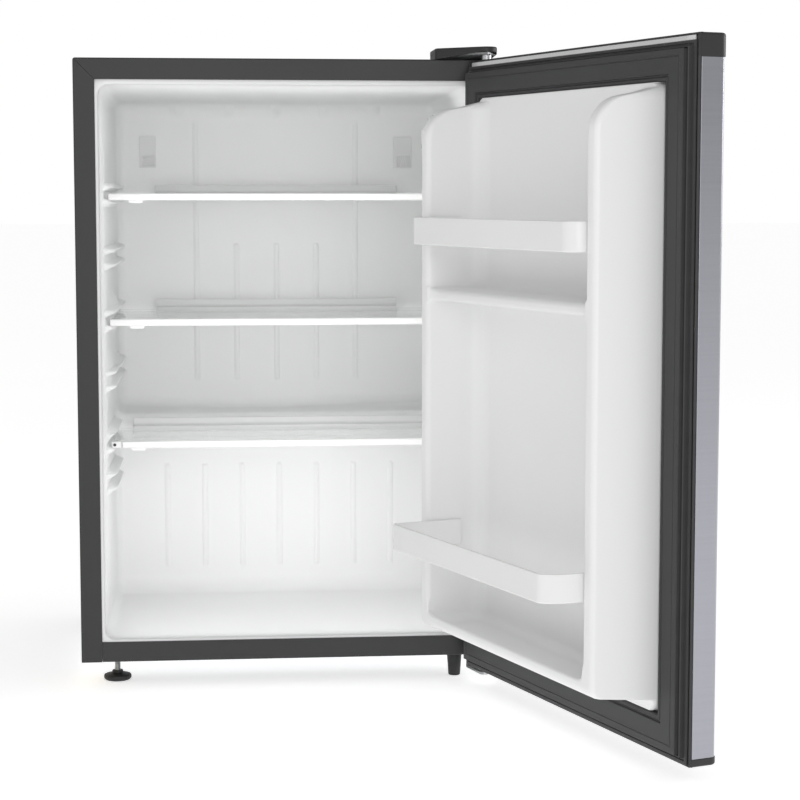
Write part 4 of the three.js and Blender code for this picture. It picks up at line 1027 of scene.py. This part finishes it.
stainless = material("brushed_stainless", {"Metallic": 1.0, "Anisotropic": 0.5}, brushed_steel)
cap_grey = material("cap_grey", {"Specular IOR Level": 0.5}, grained_grey)
skin_half = DOOR_HALF - 0.1
outer_face = rounded([(-skin_half + HEM, SKIN_EDGE), (-skin_half, SKIN_EDGE), (-skin_half, SKIN_FACE),
                      (skin_half, SKIN_FACE), (skin_half, SKIN_EDGE), (skin_half - HEM, SKIN_EDGE)],
                     (0, 0.7, SKIN_RADIUS, SKIN_RADIUS, 0.7, 0), 8)
inner_half, inner_edge, inner_back = skin_half - SHEET, SKIN_EDGE - SHEET, SKIN_FACE + SHEET
inner_face = rounded([(skin_half - HEM, inner_edge), (inner_half, inner_edge), (inner_half, inner_back),
                      (-inner_half, inner_back), (-inner_half, inner_edge), (-skin_half + HEM, inner_edge)],
                     (0, 0.2, SKIN_RADIUS - SHEET, SKIN_RADIUS - SHEET, 0.2, 0), 8)
piece("steel_skin", prism(np.concatenate((outer_face, inner_face)), SKIN_LOW, SKIN_HIGH), stainless, "door",
      ["door_skin"], place=swing)


def lip_bar(x0, x1, z0, z1):
    """A thin raised strip of a cap along the liner's edge."""
    return pillow(box_ring(x0, x1, z0, z1, 0.6, 3), DOOR_INNER - 3, DOOR_INNER, 0, 0.5, "y")


top_low, bottom_high = DOOR_HIGH - 25.6, DOOR_LOW + 9
cap_back = DOOR_INNER - 2.4
top_plan = rounded([(-DOOR_HALF, DOOR_OUTER), (DOOR_HALF, DOOR_OUTER), (DOOR_HALF, cap_back),
                    (-DOOR_HALF, cap_back)],
                   (CAP_RADIUS, CAP_RADIUS, 0.3, 0.3), 8, loop=True)
top_parts = pillow(top_plan, top_low, DOOR_HIGH, 0.6, 3.4)
top_parts += lip_bar(-DOOR_HALF, DOOR_HALF, DOOR_HIGH - CAP_LIP, DOOR_HIGH - 0.6)
bottom_parts = pillow(top_plan, DOOR_LOW, bottom_high, 2.6, 0.6)
bottom_parts += lip_bar(-DOOR_HALF, DOOR_HALF, DOOR_LOW + 0.6, DOOR_LOW + CAP_LIP)
for side in (-1, 1):
    edge = sorted((side * DOOR_HALF, side * (DOOR_HALF - HEM)))
    top_parts += lip_bar(edge[0], edge[1], top_low, DOOR_HIGH - 0.8)
    bottom_parts += lip_bar(edge[0], edge[1], DOOR_LOW + 0.8, bottom_high)
piece("top_cap", top_parts, cap_grey, "door", ["door_top_cap"], place=swing)
piece("bottom_cap", bottom_parts, cap_grey, "door", ["door_bottom_cap"], place=swing)


HINGE_X, HINGE_Y = 257.5, -29.3
BUSH_INNER, BUSH_OUTER = 4.3, 7.5


def hinge_bush(low, high):
    """A sleeve round the hinge pin: a rectangle of wall spun about the pin's axis."""
    angle = full_turn(48)
    wall_line = box_ring(BUSH_INNER, BUSH_OUTER, low, high, 0.5, 3)
    radius, level = wall_line.T[..., None]
    return [grid(on_axis(HINGE_X + radius * np.cos(angle), HINGE_Y + radius * np.sin(angle), level, "z"),
                 True, True)]


piece("upper_bush", hinge_bush(DOOR_HIGH - 18, DOOR_HIGH), trim_white, "door",
      ["upper_hinge_bush"], place=swing)
piece("lower_bush", hinge_bush(DOOR_LOW, DOOR_LOW + 9), trim_white, "door",
      ["lower_hinge_bush"], place=swing)
plug = np.array([(0.5, -1.6), (6.4, -1.6), (7.6, -1.1), (8, -0.5), (7.8, -0.3), (5.7, -0.3), (5.7, 6.4),
                 (5.1, 7),
                 (0.5, 7)])
piece("spare_plug", turned(plug + (0, DOOR_LOW), -HINGE_X, HINGE_Y), trim_white, "door",
      ["spare_hinge_plug"], place=swing)

# --- rack bars ------------------------------------------------------------------------------------
# Two bottle guards, each one bent strip of glossy white plastic whose legs hook down inside the dykes.
# They lift straight out. The lower one stands further forward, for two-litre bottles.
BAR_HALF, BAR_THICK, BAR_LEG = 199.4, 3.0, 48.0
TIGHT, HINGE_END_PROUD = 7.0, 4.0


def bar_line(proud, sweep_x, sweep_y, inset):
    """Plan of a bar: up one leg, a quarter of an ellipse, the front, a tight bend, down the other leg."""
    angle = np.linspace(0, math.pi / 2, 15)
    half = BAR_HALF - inset
    ends = []
    for side, forward, a, b in ((-1, 0, sweep_x, sweep_y), (1, HINGE_END_PROUD, TIGHT, TIGHT)):
        a, b, face = max(a - inset, 0.8), max(b - inset, 0.8), proud + forward - inset
        bend_x, bend_y = half - a + a * np.cos(angle), face - b + b * np.sin(angle)
        leg = np.array(((half, BAR_LEG), (half, (BAR_LEG + face - b) / 2)))
        ends.append(np.concatenate((leg, np.stack((bend_x, bend_y), -1))) * (side, 1))
    share = np.linspace(0, 1, 12)[1:-1, None]
    return np.concatenate((ends[0], ends[0][-1] * (1 - share) + ends[1][-1] * share, ends[1][::-1]))


def bar_parts(proud, low, tall, sweep_x, sweep_y):
    """The strip: a thin rounded section carried along the plan, with a thicker bead along its top edge."""
    outer_line, inner_line = bar_line(proud, sweep_x, sweep_y, 0), bar_line(proud, sweep_x, sweep_y,
                                                                            BAR_THICK)
    edge = np.linspace(0, math.pi, 7)
    share = np.concatenate((0.5 - 0.5 * np.cos(edge), 0.5 + 0.5 * np.cos(edge)))
    level = np.concatenate((low + 1.4 - 1.4 * np.sin(edge), low + tall - 1.4 + 1.4 * np.sin(edge)))
    flat = outer_line[:, None] * (1 - share[:, None]) + inner_line[:, None] * share[:, None]
    rings = np.stack((flat[..., 0], DOOR_INNER + flat[..., 1], level + 0 * flat[..., 0]), -1)
    return closed(rings)


piece("upper_bar_strip", bar_parts(112, 585, 34, 20, 20), trim_white, "upper_bar",
      ["upper_rack_bar"], place=swing)
piece("lower_bar_strip", bar_parts(140, 201, 33, 20, 46), trim_white, "lower_bar",
      ["lower_rack_bar"], place=swing)

# --- hinges ---------------------------------------------------------------------------------------
# Two zinc-plated steel brackets hold the door's pins. The top one is screwed to the cabinet and stepped up
# over the door, under a dark moulded cover. The bottom one carries the door's weight under the cabinet.
def plated_zinc(here):
    """Bright zinc plate: small crystalline patches with a slightly uneven gloss."""
    spangle = here.noise(340, 2)
    return {
        "Base Color": here.noise(40, 2).between((0.60, 0.61, 0.62), (0.72, 0.73, 0.74)),
        "Roughness": 0.28 + 0.18 * spangle,
        "relief": 0.02 * spangle,
    }


zinc = material("zinc_plate", {"Metallic": 1.0}, plated_zinc)
COVER_LEFT, COVER_BACK, NOSE = 194.0, 64.0, 13.4


def hinge_plan(left, right, back, nose, steps=14):
    """A hinge's plan: square at the back, tapering on its left side to a round nose about the pin."""
    angle = np.linspace(-0.72 * math.pi, 0, steps)
    nose_line = np.stack((HINGE_X + nose * np.cos(angle), HINGE_Y + nose * np.sin(angle)), -1)
    back_line = rounded([(right, 0), (right, back), (left, back), (left, 2), tuple(nose_line[0])],
                        (0, 3, 3, 9, 0), 5)
    return np.concatenate((back_line[1:-1], nose_line))


def densified(rings, steps=6):
    """Rows of a ring with extra columns, evenly spaced between each pair of neighbours."""
    ahead_rings = np.roll(rings, -1, 1)
    share = np.linspace(0, 1, steps, endpoint=False)[:, None]
    return (rings[:, :, None] * (1 - share) + ahead_rings[:, :, None] * share).reshape(len(rings), -1, 3)


ARM_TOP, COVER_TOP = 829.6, 836.4
cover_plan = hinge_plan(COVER_LEFT, HINGE_X + NOSE, COVER_BACK, NOSE)
cover_parts = pillow(cover_plan, ARM_TOP, COVER_TOP, 0.4, 2.2)
# Its skirt stands on the cabinet, follows the plan's edge and rises to clear the door's pin.
SKIRT_FOOT = 822.5
skirt_out, skirt_in = shrink(cover_plan, 0.15), shrink(cover_plan, 1.9)
hem_rise = np.interp(cover_plan[:, 1], (-36, -20), (ARM_TOP + 0.3, SKIRT_FOOT))
skirt_rows = [on_axis(*flat.T, level, "z") for flat, level in ((skirt_out, ARM_TOP + 2),
                                                               (skirt_out, hem_rise),
                                                               (skirt_in, hem_rise), (skirt_in, ARM_TOP + 2))]
cover_parts.append(grid(densified(np.stack(skirt_rows)), True, True))
piece("hinge_cover", cover_parts, cap_grey, "cabinet", ["top_hinge_cover"])

bracket_line = rounded([(61.5, 822.3), (6, 822.3), (0, 826.4), (-43, 826.4)], (0, 3, 3, 0), 5)
bracket_top = rounded([(-43, 829.2), (-1, 829.2), (5, 825.2), (61.5, 825.2)], (0.6, 3, 3, 0.6), 5)
arm_section = np.concatenate((bracket_line, bracket_top))


def bent_plate(section, half_at, steps=9):
    """A bracket: its side section carried across between a left and a right edge that depend on depth."""
    share = np.linspace(0, 1, steps)
    left, right = half_at(section[:, 0])
    x = left[:, None] * (1 - share) + right[:, None] * share
    rings = np.stack((x, section[:, :1] + 0 * x, section[:, 1:] + 0 * x), -1)
    return closed(np.moveaxis(rings, 1, 0))


def arm_edges(left, right, nose):
    """Left and right edges of a hinge plan at each depth: straight behind, tapered, then round the pin."""
    def edges(y):
        cut_y = HINGE_Y - 0.78 * nose
        cut_x = HINGE_X - 0.62 * nose
        taper = np.interp(y, (cut_y, 2), (cut_x, left))
        round_off = np.sqrt(np.clip(nose ** 2 - (np.minimum(y, HINGE_Y) - HINGE_Y) ** 2, 0.04, None))
        low = np.where(y < cut_y, HINGE_X - round_off, taper)
        high = np.where(y < HINGE_Y, HINGE_X + round_off, right)
        return low, np.maximum(high, low + 0.4)
    return edges


def densify(section, widest=3.0):
    """A section with more points along its long sides, so that a curved plan can be followed."""
    loop_line = np.concatenate((section, section[:1]))
    filled = []
    for start, end in zip(loop_line[:-1], loop_line[1:]):
        count = max(1, math.ceil(np.linalg.norm(end - start) / widest))
        filled.append(start + (end - start) * np.linspace(0, 1, count + 1)[:-1, None])
    return np.concatenate(filled)


piece("top_bracket", bent_plate(densify(arm_section), arm_edges(196.2, 269.3, 11.8)), zinc, "cabinet",
      ["top_hinge_bracket"], sharp=40)
low_section = np.concatenate((
    rounded([(-41, 14.6), (8, 14.6), (8, 28.7), (59.8, 28.7)], (0.5, 3, 2, 0), 5),
    rounded([(59.8, 31.6), (5, 31.6), (5, 17.4), (-41, 17.4)], (0, 3, 2, 0.5), 5)))
piece("bottom_bracket", bent_plate(densify(low_section), arm_edges(238.2, 269.3, 11.8)), zinc, "cabinet",
      ["bottom_hinge_bracket"], sharp=40)
top_pin = [(0.5, 802.8), (3.2, 802.8), (4, 803.8), (4, 819.4), (6.2, 819.4), (6.4, 819.7), (6.4, 825.7),
           (6.1, 826),
           (4, 826), (4, 828.6), (3.6, 829.1), (0.5, 829.1)]
piece("upper_pin", turned(top_pin, HINGE_X, HINGE_Y), zinc, "cabinet", ["top_hinge_pin"])
low_pin = [(0.5, 12), (5.4, 12), (6, 12.6), (6, 14.2), (4, 14.2), (4, 17.8), (6.8, 17.8), (7, 18.1),
           (7, 21.8),
           (6.8, 22.1), (4, 22.1), (4, 30), (3.3, 30.7), (0.5, 30.7)]
piece("lower_pin", turned(low_pin, HINGE_X, HINGE_Y), zinc, "cabinet", ["bottom_hinge_pin"])


def screw_head(x, y, seat, way):
    """A flanged pan head with a cross recess: turned rings whose middle sinks along two crossed slots."""
    angle = full_turn(48)
    radius = np.array((5.5, 5.5, 5.1, 4.9, 4.3, 3.4, 2.6, 2.1, 1.6, 1.1, 0.6))[:, None]
    level = np.array((0, 0.5, 0.8, 2.0, 2.8, 3.2, 3.35, 3.38, 3.4, 3.4, 3.4))[:, None]
    slot_side = np.minimum(np.abs(radius * np.sin(angle)), np.abs(radius * np.cos(angle)))
    sunk = 1.6 * np.clip((0.62 - slot_side) / 0.25, 0, 1) * np.clip((2.6 - radius) / 0.5, 0, 1)
    return closed(on_axis(x + radius * np.cos(angle), y + radius * np.sin(angle),
                          seat + way * (level - sunk), "z"))


for number, (x, y) in enumerate(((214, 40), (246, 28)), 1):
    piece(f"top_screw_{number}", screw_head(x, y, 825.4, 1), zinc, "cabinet",
          [f"top_hinge_screw_{number}"])
for number, y in enumerate((22, 46), 1):
    piece(f"bottom_screw_{number}", screw_head(255, y, 28.5, -1), zinc, "cabinet",
          [f"bottom_hinge_screw_{number}"])

# --- feet -----------------------------------------------------------------------------------------
# The front left foot is a dark moulded disc on a threaded steel stem, screwed up or down to level the
# cabinet. The others are plain moulded pads, fixed.
def dull_black(here):
    """Black polypropylene: fine grain, scuffed lighter in places."""
    scuff = here.noise(35, 4, 0.65)
    return {
        "Base Color": scuff.between((0.014, 0.014, 0.015), (0.030, 0.030, 0.031)),
        "Roughness": 0.42 + 0.2 * scuff,
        "relief": 0.03 * here.noise(1000, 3, 0.7),
    }


black_plastic = material("black_plastic", {"Specular IOR Level": 0.45}, dull_black)
piece("lower_shelf_stud", end_stud, black_plastic, "lower_shelf", ["lower_shelf_front_trim"])
FOOT_X, FOOT_Y = -228.5, 40.0
THREAD_LOW, THREAD_HIGH, PITCH_OF_THREAD, STEM = 13.0, 36.0, 1.75, 4.0


def threaded_stem(x, y):
    """A screw thread: the radius rises and falls with height less a share of the pitch for each turn."""
    angle = full_turn(40)
    level = np.linspace(THREAD_LOW - 0.5, THREAD_HIGH - 0.1, 112)[:, None]
    phase = (level / PITCH_OF_THREAD - angle / (2 * math.pi)) % 1
    depth = 0.75 * np.clip(np.abs(phase - 0.5) * 2.4 - 0.1, 0, 1)
    taper = np.clip((THREAD_HIGH - level) / 1.2, 0.35, 1) ** 0.5
    radius = (STEM - depth) * taper
    return closed(on_axis(x + radius * np.cos(angle), y + radius * np.sin(angle), level, "z"))


def knurled_disc(x, y, foot):
    """A foot's disc: turned, with shallow flutes round its edge for the fingers."""
    angle = full_turn(120)
    radius, level = np.array(foot, float).T[..., None]
    flute = 0.35 * (0.5 - 0.5 * np.cos(24 * angle)) * ((level > 1.5) & (level < 7.5) & (radius > 15))
    radius = radius - flute
    return closed(on_axis(x + radius * np.cos(angle), y + radius * np.sin(angle), level, "z"))


disc = [(0.6, 0), (15.5, 0), (16.4, 0.4), (17.6, 1.6), (18.3, 2.6), (18.3, 5.6), (17.8, 6.8), (16.6, 7.4),
        (10.5, 8.4),
        (8.4, 9.0), (7.4, 10.0), (7.2, 12.2), (6.6, 12.8), (3.0, 12.9)]
piece("foot_disc", knurled_disc(FOOT_X, FOOT_Y, disc), black_plastic, "left_foot",
      ["levelling_foot"])
piece("foot_stem", threaded_stem(FOOT_X, FOOT_Y), zinc, "left_foot", ["levelling_foot"])


PAD_TOP = 31.7


def pad(low, high, x, y, top=PAD_TOP):
    """A fixed pad: wider at one end than the other, with a rounded rim and a raised washer at the top."""
    profile = [(0.6, 0), (low - 1.4, 0), (low - 0.4, 0.4), (low, 1.4), (high, top - 2.4),
               (high - 0.3, top - 1.6),
               (high - 1.6, top - 1.4), (high - 1.8, top), (0.6, top)]
    return turned(profile, x, y)


for name, low, high, x, y in (("front_right", 8, 10, 224, 24), ("rear_left", 11, 13, -236, 446),
                              ("rear_right", 11, 13, 236, 446)):
    piece(name + "_pad", pad(low, high, x, y), black_plastic, "cabinet", [name + "_foot"])

# --- thermostat -----------------------------------------------------------------------------------
# A white moulded box on the right wall with a round dial. Tick marks, no figures, run round the dial.
house_low, house_high = node_mm("thermostat_housing")
DIAL_Y, DIAL_Z, DIAL_FACE = 206.0, 724.0, 212.0


def ribbed_dial(profile, ribs, deep):
    """A profile of (radius, x) points spun about the dial's spindle, with finger ribs round its rim."""
    angle = full_turn(144)
    radius, across = np.array(profile, float).T[..., None]
    radius = radius - deep * (0.5 - 0.5 * np.cos(ribs * angle)) * (radius > 13.5)
    return closed(on_axis(DIAL_Y + radius * np.cos(angle), DIAL_Z + radius * np.sin(angle), across, "x"))


house_ring = box_ring(house_low[1] + 0.1, house_high[1] - 0.1, house_low[2] + 0.1, house_high[2] - 0.1, 12, 8)
house_parts = pillow(house_ring, house_low[0] + 0.1, house_high[0] - 0.1, 3.0, 0.3, "x")
for tick in np.linspace(math.radians(-40), math.radians(220), 8):
    middle = np.array((DIAL_Y + 22 * math.cos(tick), DIAL_Z + 22 * math.sin(tick)))
    side, out = np.array((-math.sin(tick), math.cos(tick))), np.array((math.cos(tick), math.sin(tick)))
    bar = np.array([middle + a * side + b * out for a, b in ((-0.6, -2.4), (0.6, -2.4), (0.6, 2.4),
                                                             (-0.6, 2.4))])
    house_parts += prism(bar, DIAL_FACE - 0.12, DIAL_FACE + 0.4, "x")
piece("thermostat_box", house_parts, trim_white, "cabinet", ["thermostat_housing"])
dial = [(17, 211.6), (17, 208), (16.4, 206.2), (15.2, 200.4), (14.4, 198.9), (12.8, 198.1), (9, 197.9),
        (0.5, 197.9)]
dial_parts = ribbed_dial(dial, 24, 0.5)
pointer = box_ring(DIAL_Y - 1.2, DIAL_Y + 1.2, DIAL_Z + 2, DIAL_Z + 12, 0.6, 3)
dial_parts += pillow(pointer, 197.75, 198.4, 0.2, 0.0, "x")
piece("dial", dial_parts, trim_white, "thermostat_dial", ["thermostat_knob"], sharp=28)

# --- back and base --------------------------------------------------------------------------------
# A painted sheet closes the back above the machine, with a shallow pressed border. Zinc-plated sheets line
# the machine bay, and a painted pan with turned-up edges carries the compressor.
panel_low, panel_high = node_mm("rear_panel")
PRESSED_DEEP, PANEL_SHEET = 0.22, 0.2


def bordered(low, high):
    """Places across a panel, closer together where its pressed border bends."""
    border = np.array((0, 17, 19, 23, 25))
    return spread(np.concatenate((low + border, high - border)), 40)


back_x, back_z = np.meshgrid(bordered(panel_low[0], panel_high[0]), bordered(panel_low[2], panel_high[2]))
rim_away = np.minimum(np.minimum(back_x - panel_low[0], panel_high[0] - back_x),
                      np.minimum(back_z - panel_low[2], panel_high[2] - back_z))
pressed = PRESSED_DEEP * eased((rim_away - 17.5) / 7)
outside = np.stack((back_x, panel_high[1] - 0.05 - pressed, back_z), -1)
inside = outside - (0, PANEL_SHEET, 0)
rim_line = np.concatenate((outside[0], outside[1:, -1], outside[-1, -2::-1], outside[-2:0:-1, 0]))
rim_pair = np.stack((rim_line, rim_line - (0, PANEL_SHEET, 0)))
piece("back_panel", [grid(outside), grid(inside), grid(rim_pair, wrap_columns=True)], painted_steel,
      "cabinet",
      ["rear_panel"], sharp=40)
dress_node("floor_panel", zinc)
dress_node("bay_panel", zinc)
dress_node("base_pan", painted_steel)

# --- compressor -----------------------------------------------------------------------------------
# A hermetic steel pot of two deep-drawn halves welded at a flange, in black enamel. It stands on a foot bar
# with four rubber grommets, and a moulded cover shields its relay.
def black_enamel(here):
    """Thick glossy black paint with runs and a fine orange peel."""
    runs = here.stretched(40, 40, 12).noise(1, 3)
    return {
        "Base Color": here.noise(20).between((0.010, 0.010, 0.011), (0.022, 0.022, 0.023)),
        "Roughness": 0.22 + 0.16 * runs,
        "relief": 0.06 * runs + 0.03 * here.noise(500, 2),
    }


def black_rubber(here):
    """Moulded rubber with a grey bloom."""
    bloom = here.noise(90, 3)
    return {
        "Base Color": bloom.between((0.018, 0.018, 0.018), (0.040, 0.040, 0.041)),
        "Roughness": 0.66 + 0.2 * bloom,
        "relief": 0.04 * here.noise(1200, 2),
    }


enamel_black = material("black_enamel", {"Specular IOR Level": 0.5}, black_enamel)
rubber = material("black_rubber", {"Specular IOR Level": 0.3}, black_rubber)
POT_X, POT_Y, POT_BASE, POT_SQUASH = 62.0, 408.0, 48.0, 0.8


def drawn_pot():
    """The shell: rings of an ellipse whose radius follows a domed profile with a welded flange."""
    dome = np.linspace(0, math.pi / 2, 12)
    low = np.stack((52 + 19 * np.sin(dome), POT_BASE + 4 + 26 * (1 - np.cos(dome))), -1)
    high = np.stack((40 + 31 * np.cos(dome), POT_BASE + 108 + 34 * np.sin(dome)), -1)
    flange = np.array(((71.2, 108), (71.6, 111.5), (73.4, 112.2), (73.8, 113), (73.8, 116), (73.4, 116.8),
                       (71.6, 117.4), (71.2, 121)))
    profile = np.concatenate(([(1, POT_BASE + 4), (30, POT_BASE + 4)], low, flange, high,
                              [(20, POT_BASE + 144.4), (1, POT_BASE + 145)]))
    angle = full_turn(96)
    radius, level = profile.T[..., None]
    return closed(on_axis(POT_X + radius * np.cos(angle), POT_Y + POT_SQUASH * radius * np.sin(angle),
                          level, "z"))


pot_parts = drawn_pot()
for offset in (-38, 38):
    plan = box_ring(POT_X - 98, POT_X + 98, POT_Y + offset - 12.8, POT_Y + offset + 12.8, 12, 8)
    pot_parts += pillow(plan, POT_BASE + 2.2, POT_BASE + 6, 1.2, 1.2)
piece("compressor_shell", pot_parts, enamel_black, "cabinet", ["compressor"], sharp=35)
for number in range(1, 5):
    low, high = node_mm(f"compressor_grommet_{number}")
    middle, tall, foot, head = (low + high) / 2, high[2] - low[2], low[2], high[2]
    wide = (high[0] - low[0]) / 2 - 0.1
    profile = [(0.5, foot), (wide - 1.5, foot), (wide, foot + 1.6), (wide, foot + 0.28 * tall),
               (wide - 2.3, foot + 0.36 * tall), (wide - 2.3, foot + 0.50 * tall), (wide, foot + 0.58 * tall),
               (wide, head - 1.6), (wide - 1.5, head), (0.5, head)]
    piece(f"grommet_{number}", turned(profile, middle[0], middle[1], 32), rubber, "cabinet",
          [f"compressor_grommet_{number}"])
relay_low, relay_high = node_mm("relay_cover")
relay_parts = pillow(box_ring(relay_low[1] + 0.1, relay_high[1] - 0.1, relay_low[2] + 0.1,
                              relay_high[2] - 0.1, 5, 6),
                     relay_low[0] + 0.1, relay_high[0] - 0.1, 0.4, 3.0, "x")
clip_z = (relay_low[2] + relay_high[2]) / 2
relay_parts += pillow(box_ring(relay_low[1] + 14, relay_high[1] - 14, clip_z - 3, clip_z + 3, 1.5, 4),
                      relay_high[0] - 3, relay_high[0], 0.3, 0.8, "x")
piece("relay_box", relay_parts, black_plastic, "cabinet", ["relay_cover"])

# --- drip pan and drain ---------------------------------------------------------------------------
# A black tray clipped over the warm compressor, where melt water from the drain tube dries off.
tray_low, tray_high = node_mm("drip_pan")
tray_ring = box_ring(tray_low[0] + 0.1, tray_high[0] - 0.1, tray_low[1] + 0.1, tray_high[1] - 0.1, 9, 6)
foot, head = tray_low[2], tray_high[2]
tray_rows = [(6, foot + 0.1), (2.6, foot + 0.9), (1.4, foot + 3), (0.9, head - 2.2), (0, head - 2.0),
             (0, head - 0.1),
             (2.4, head - 0.1), (3.0, head - 1.0), (3.4, foot + 5), (5.0, foot + 2.6), (8, foot + 2.2)]
tray_rings = [on_axis(*shrink(tray_ring, inset).T, level, "z") for inset, level in tray_rows]
piece("drip_tray", closed(tray_rings), black_plastic, "cabinet", ["drip_pan"], sharp=40)
dress_node("drain_tube", trim_white)

# --- refrigerant lines ----------------------------------------------------------------------------
# Bent copper tubes join the compressor to the cold plate and to the condenser. The drier is a small copper
# can in the line, which keeps moisture out of the capillary.
def worn_copper(here):
    """Copper with brown oxide stains, and short lines left by the bending tools."""
    stain = here.noise(30, 4, 0.6)
    return {
        "Base Color": stain.between((0.75, 0.36, 0.22), (0.46, 0.22, 0.13)),
        "Roughness": 0.22 + 0.30 * stain,
        "relief": 0.03 * here.noise(300, 2),
    }


copper = material("copper_tube", {"Metallic": 1.0}, worn_copper)


def through(points, steps=14):
    """A smooth line through points: a Catmull-Rom cubic between each pair."""
    points = np.asarray(points, float)
    padded = np.concatenate((2 * points[:1] - points[1:2], points, 2 * points[-1:] - points[-2:-1]))
    t = np.linspace(0, 1, steps, endpoint=False)[None, :, None]
    a, b, c, d = (padded[k:len(padded) - 3 + k, None] for k in range(4))
    curve = 0.5 * (2 * b + (c - a) * t + (2 * a - 5 * b + 4 * c - d) * t ** 2
                   + (3 * b - a - 3 * c + d) * t ** 3)
    return np.concatenate((curve.reshape(-1, 3), points[-1:]))


def tube(line, radius, sides=20, across=(0, 1, 0)):
    """A round tube along a line: circles set square to it, with one axis kept near a fixed direction."""
    ahead = np.gradient(line, axis=0)
    ahead /= np.linalg.norm(ahead, axis=1)[:, None]
    first = np.cross(ahead, across)
    first /= np.linalg.norm(first, axis=1)[:, None]
    second = np.cross(ahead, first)
    angle = full_turn(sides)[None, :, None]
    radius = np.broadcast_to(radius, len(line))[:, None, None]
    return closed(line[:, None] + radius * (first[:, None] * np.cos(angle) + second[:, None] * np.sin(angle)))


suction = [(-15, 396, 120), (-36, 392, 124), (-60, 388, 150), (-104, 392, 176), (-112, 396, 236),
           (-112, 400, 284)]
discharge = [(-14, 424, 96), (-38, 430, 90), (-110, 440, 84), (-176, 452, 96), (-196, 462, 170),
             (-200, 470, 262)]
piece("suction_tube", tube(through(suction), 3.9), copper, "cabinet", ["suction_line"])
piece("discharge_tube", tube(through(discharge), 2.9), copper, "cabinet", ["discharge_line"])
can_low, can_high = node_mm("filter_drier")
can_middle = (can_low + can_high) / 2
can_end = np.array([(1.4, 0), (2.6, 0), (2.8, 9), (9.2, 17), (9.9, 19), (9.9, 26), (9.4, 27), (9.4, 28.5),
                    (9.9, 29.5)])
can = np.concatenate((can_end + (0, can_low[2]), (can_end * (1, -1) + (0, can_high[2]))[::-1]))
piece("drier_can", turned(can, can_middle[0], can_middle[1]), copper, "cabinet", ["filter_drier"])

# --- condenser ------------------------------------------------------------------------------------
# One steel tube bent to and fro across the back, with thin wires spot-welded across both of its sides to
# shed heat. Two folded steel rails hold it off the panel. All of it is painted black.
COIL_Y, COIL_R, COIL_HALF, COIL_LOW, COIL_STEP, COIL_RUNS = 473.1, 2.4, 196.0, 318.0, 48.0, 10
WIRE_RADIUS = 0.45
corner_points = []
for run in range(COIL_RUNS):
    ends = (-COIL_HALF, COIL_HALF) if run % 2 == 0 else (COIL_HALF, -COIL_HALF)
    corner_points += [(end, COIL_Y, COIL_LOW + run * COIL_STEP) for end in ends]
coil_radii = [0] + [COIL_STEP / 2 - 0.01] * (len(corner_points) - 2) + [0]
piece("condenser_tube", tube(rounded(corner_points, coil_radii, 12), COIL_R, 16), enamel_black, "cabinet",
      ["condenser_coil"])
wire_foot, wire_head = COIL_LOW - 1.6, COIL_LOW + (COIL_RUNS - 1) * COIL_STEP + 1.6
wire_parts = []
for x in np.linspace(-190, 190, 47):
    near_rail = abs(abs(x) - 150) < 9
    for face in (1,) if near_rail else (-1, 1):
        wire = [(WIRE_RADIUS, wire_foot), (WIRE_RADIUS, wire_head)]
        wire_parts += turned(wire, x, COIL_Y + face * 2.9, 6)
piece("condenser_wires", wire_parts, enamel_black, "cabinet", ["condenser_coil"])
for side, name in ((-1, "left"), (1, "right")):
    rail_mm_low, rail_mm_high = node_mm(f"condenser_rail_{name}")
    x0, x1 = rail_mm_low[0] + 0.1, rail_mm_high[0] - 0.1
    y0, y1 = rail_mm_low[1] + 0.1, rail_mm_high[1] - 0.7
    channel = np.concatenate((
        rounded([(x0, y0), (x0, y1), (x1, y1), (x1, y0)], (0, 1.6, 1.6, 0), 5),
        rounded([(x1 - 0.9, y0), (x1 - 0.9, y1 - 0.9), (x0 + 0.9, y1 - 0.9), (x0 + 0.9, y0)],
                (0, 0.8, 0.8, 0), 5)))
    rail_parts = prism(channel, rail_mm_low[2], rail_mm_high[2], "z")
    piece(f"{name}_rail", rail_parts, enamel_black, "cabinet", [f"condenser_rail_{name}"])
gland_low, gland_high = node_mm("cord_gland")
gland_middle = (gland_low + gland_high) / 2
front = np.array([(4.0, 0.1), (10.9, 0.1), (10.9, 3), (10, 4), (7.4, 4.6), (7.0, 6.4), (7.4, 7.2), (6.8, 8.4),
                  (7.1, 9.2), (6.4, 10.4), (6.6, 11.2)]) + (0, gland_low[1])
rear = np.array([(6.0, -0.6), (5.4, -0.1), (3.6, -0.1), (3.4, -2.5), (1.0, -2.6)]) + (0, gland_high[1])
piece("gland", turned(np.concatenate((front, rear)), gland_middle[0], gland_middle[2], axis="y"), rubber,
      "cabinet", ["cord_gland"])
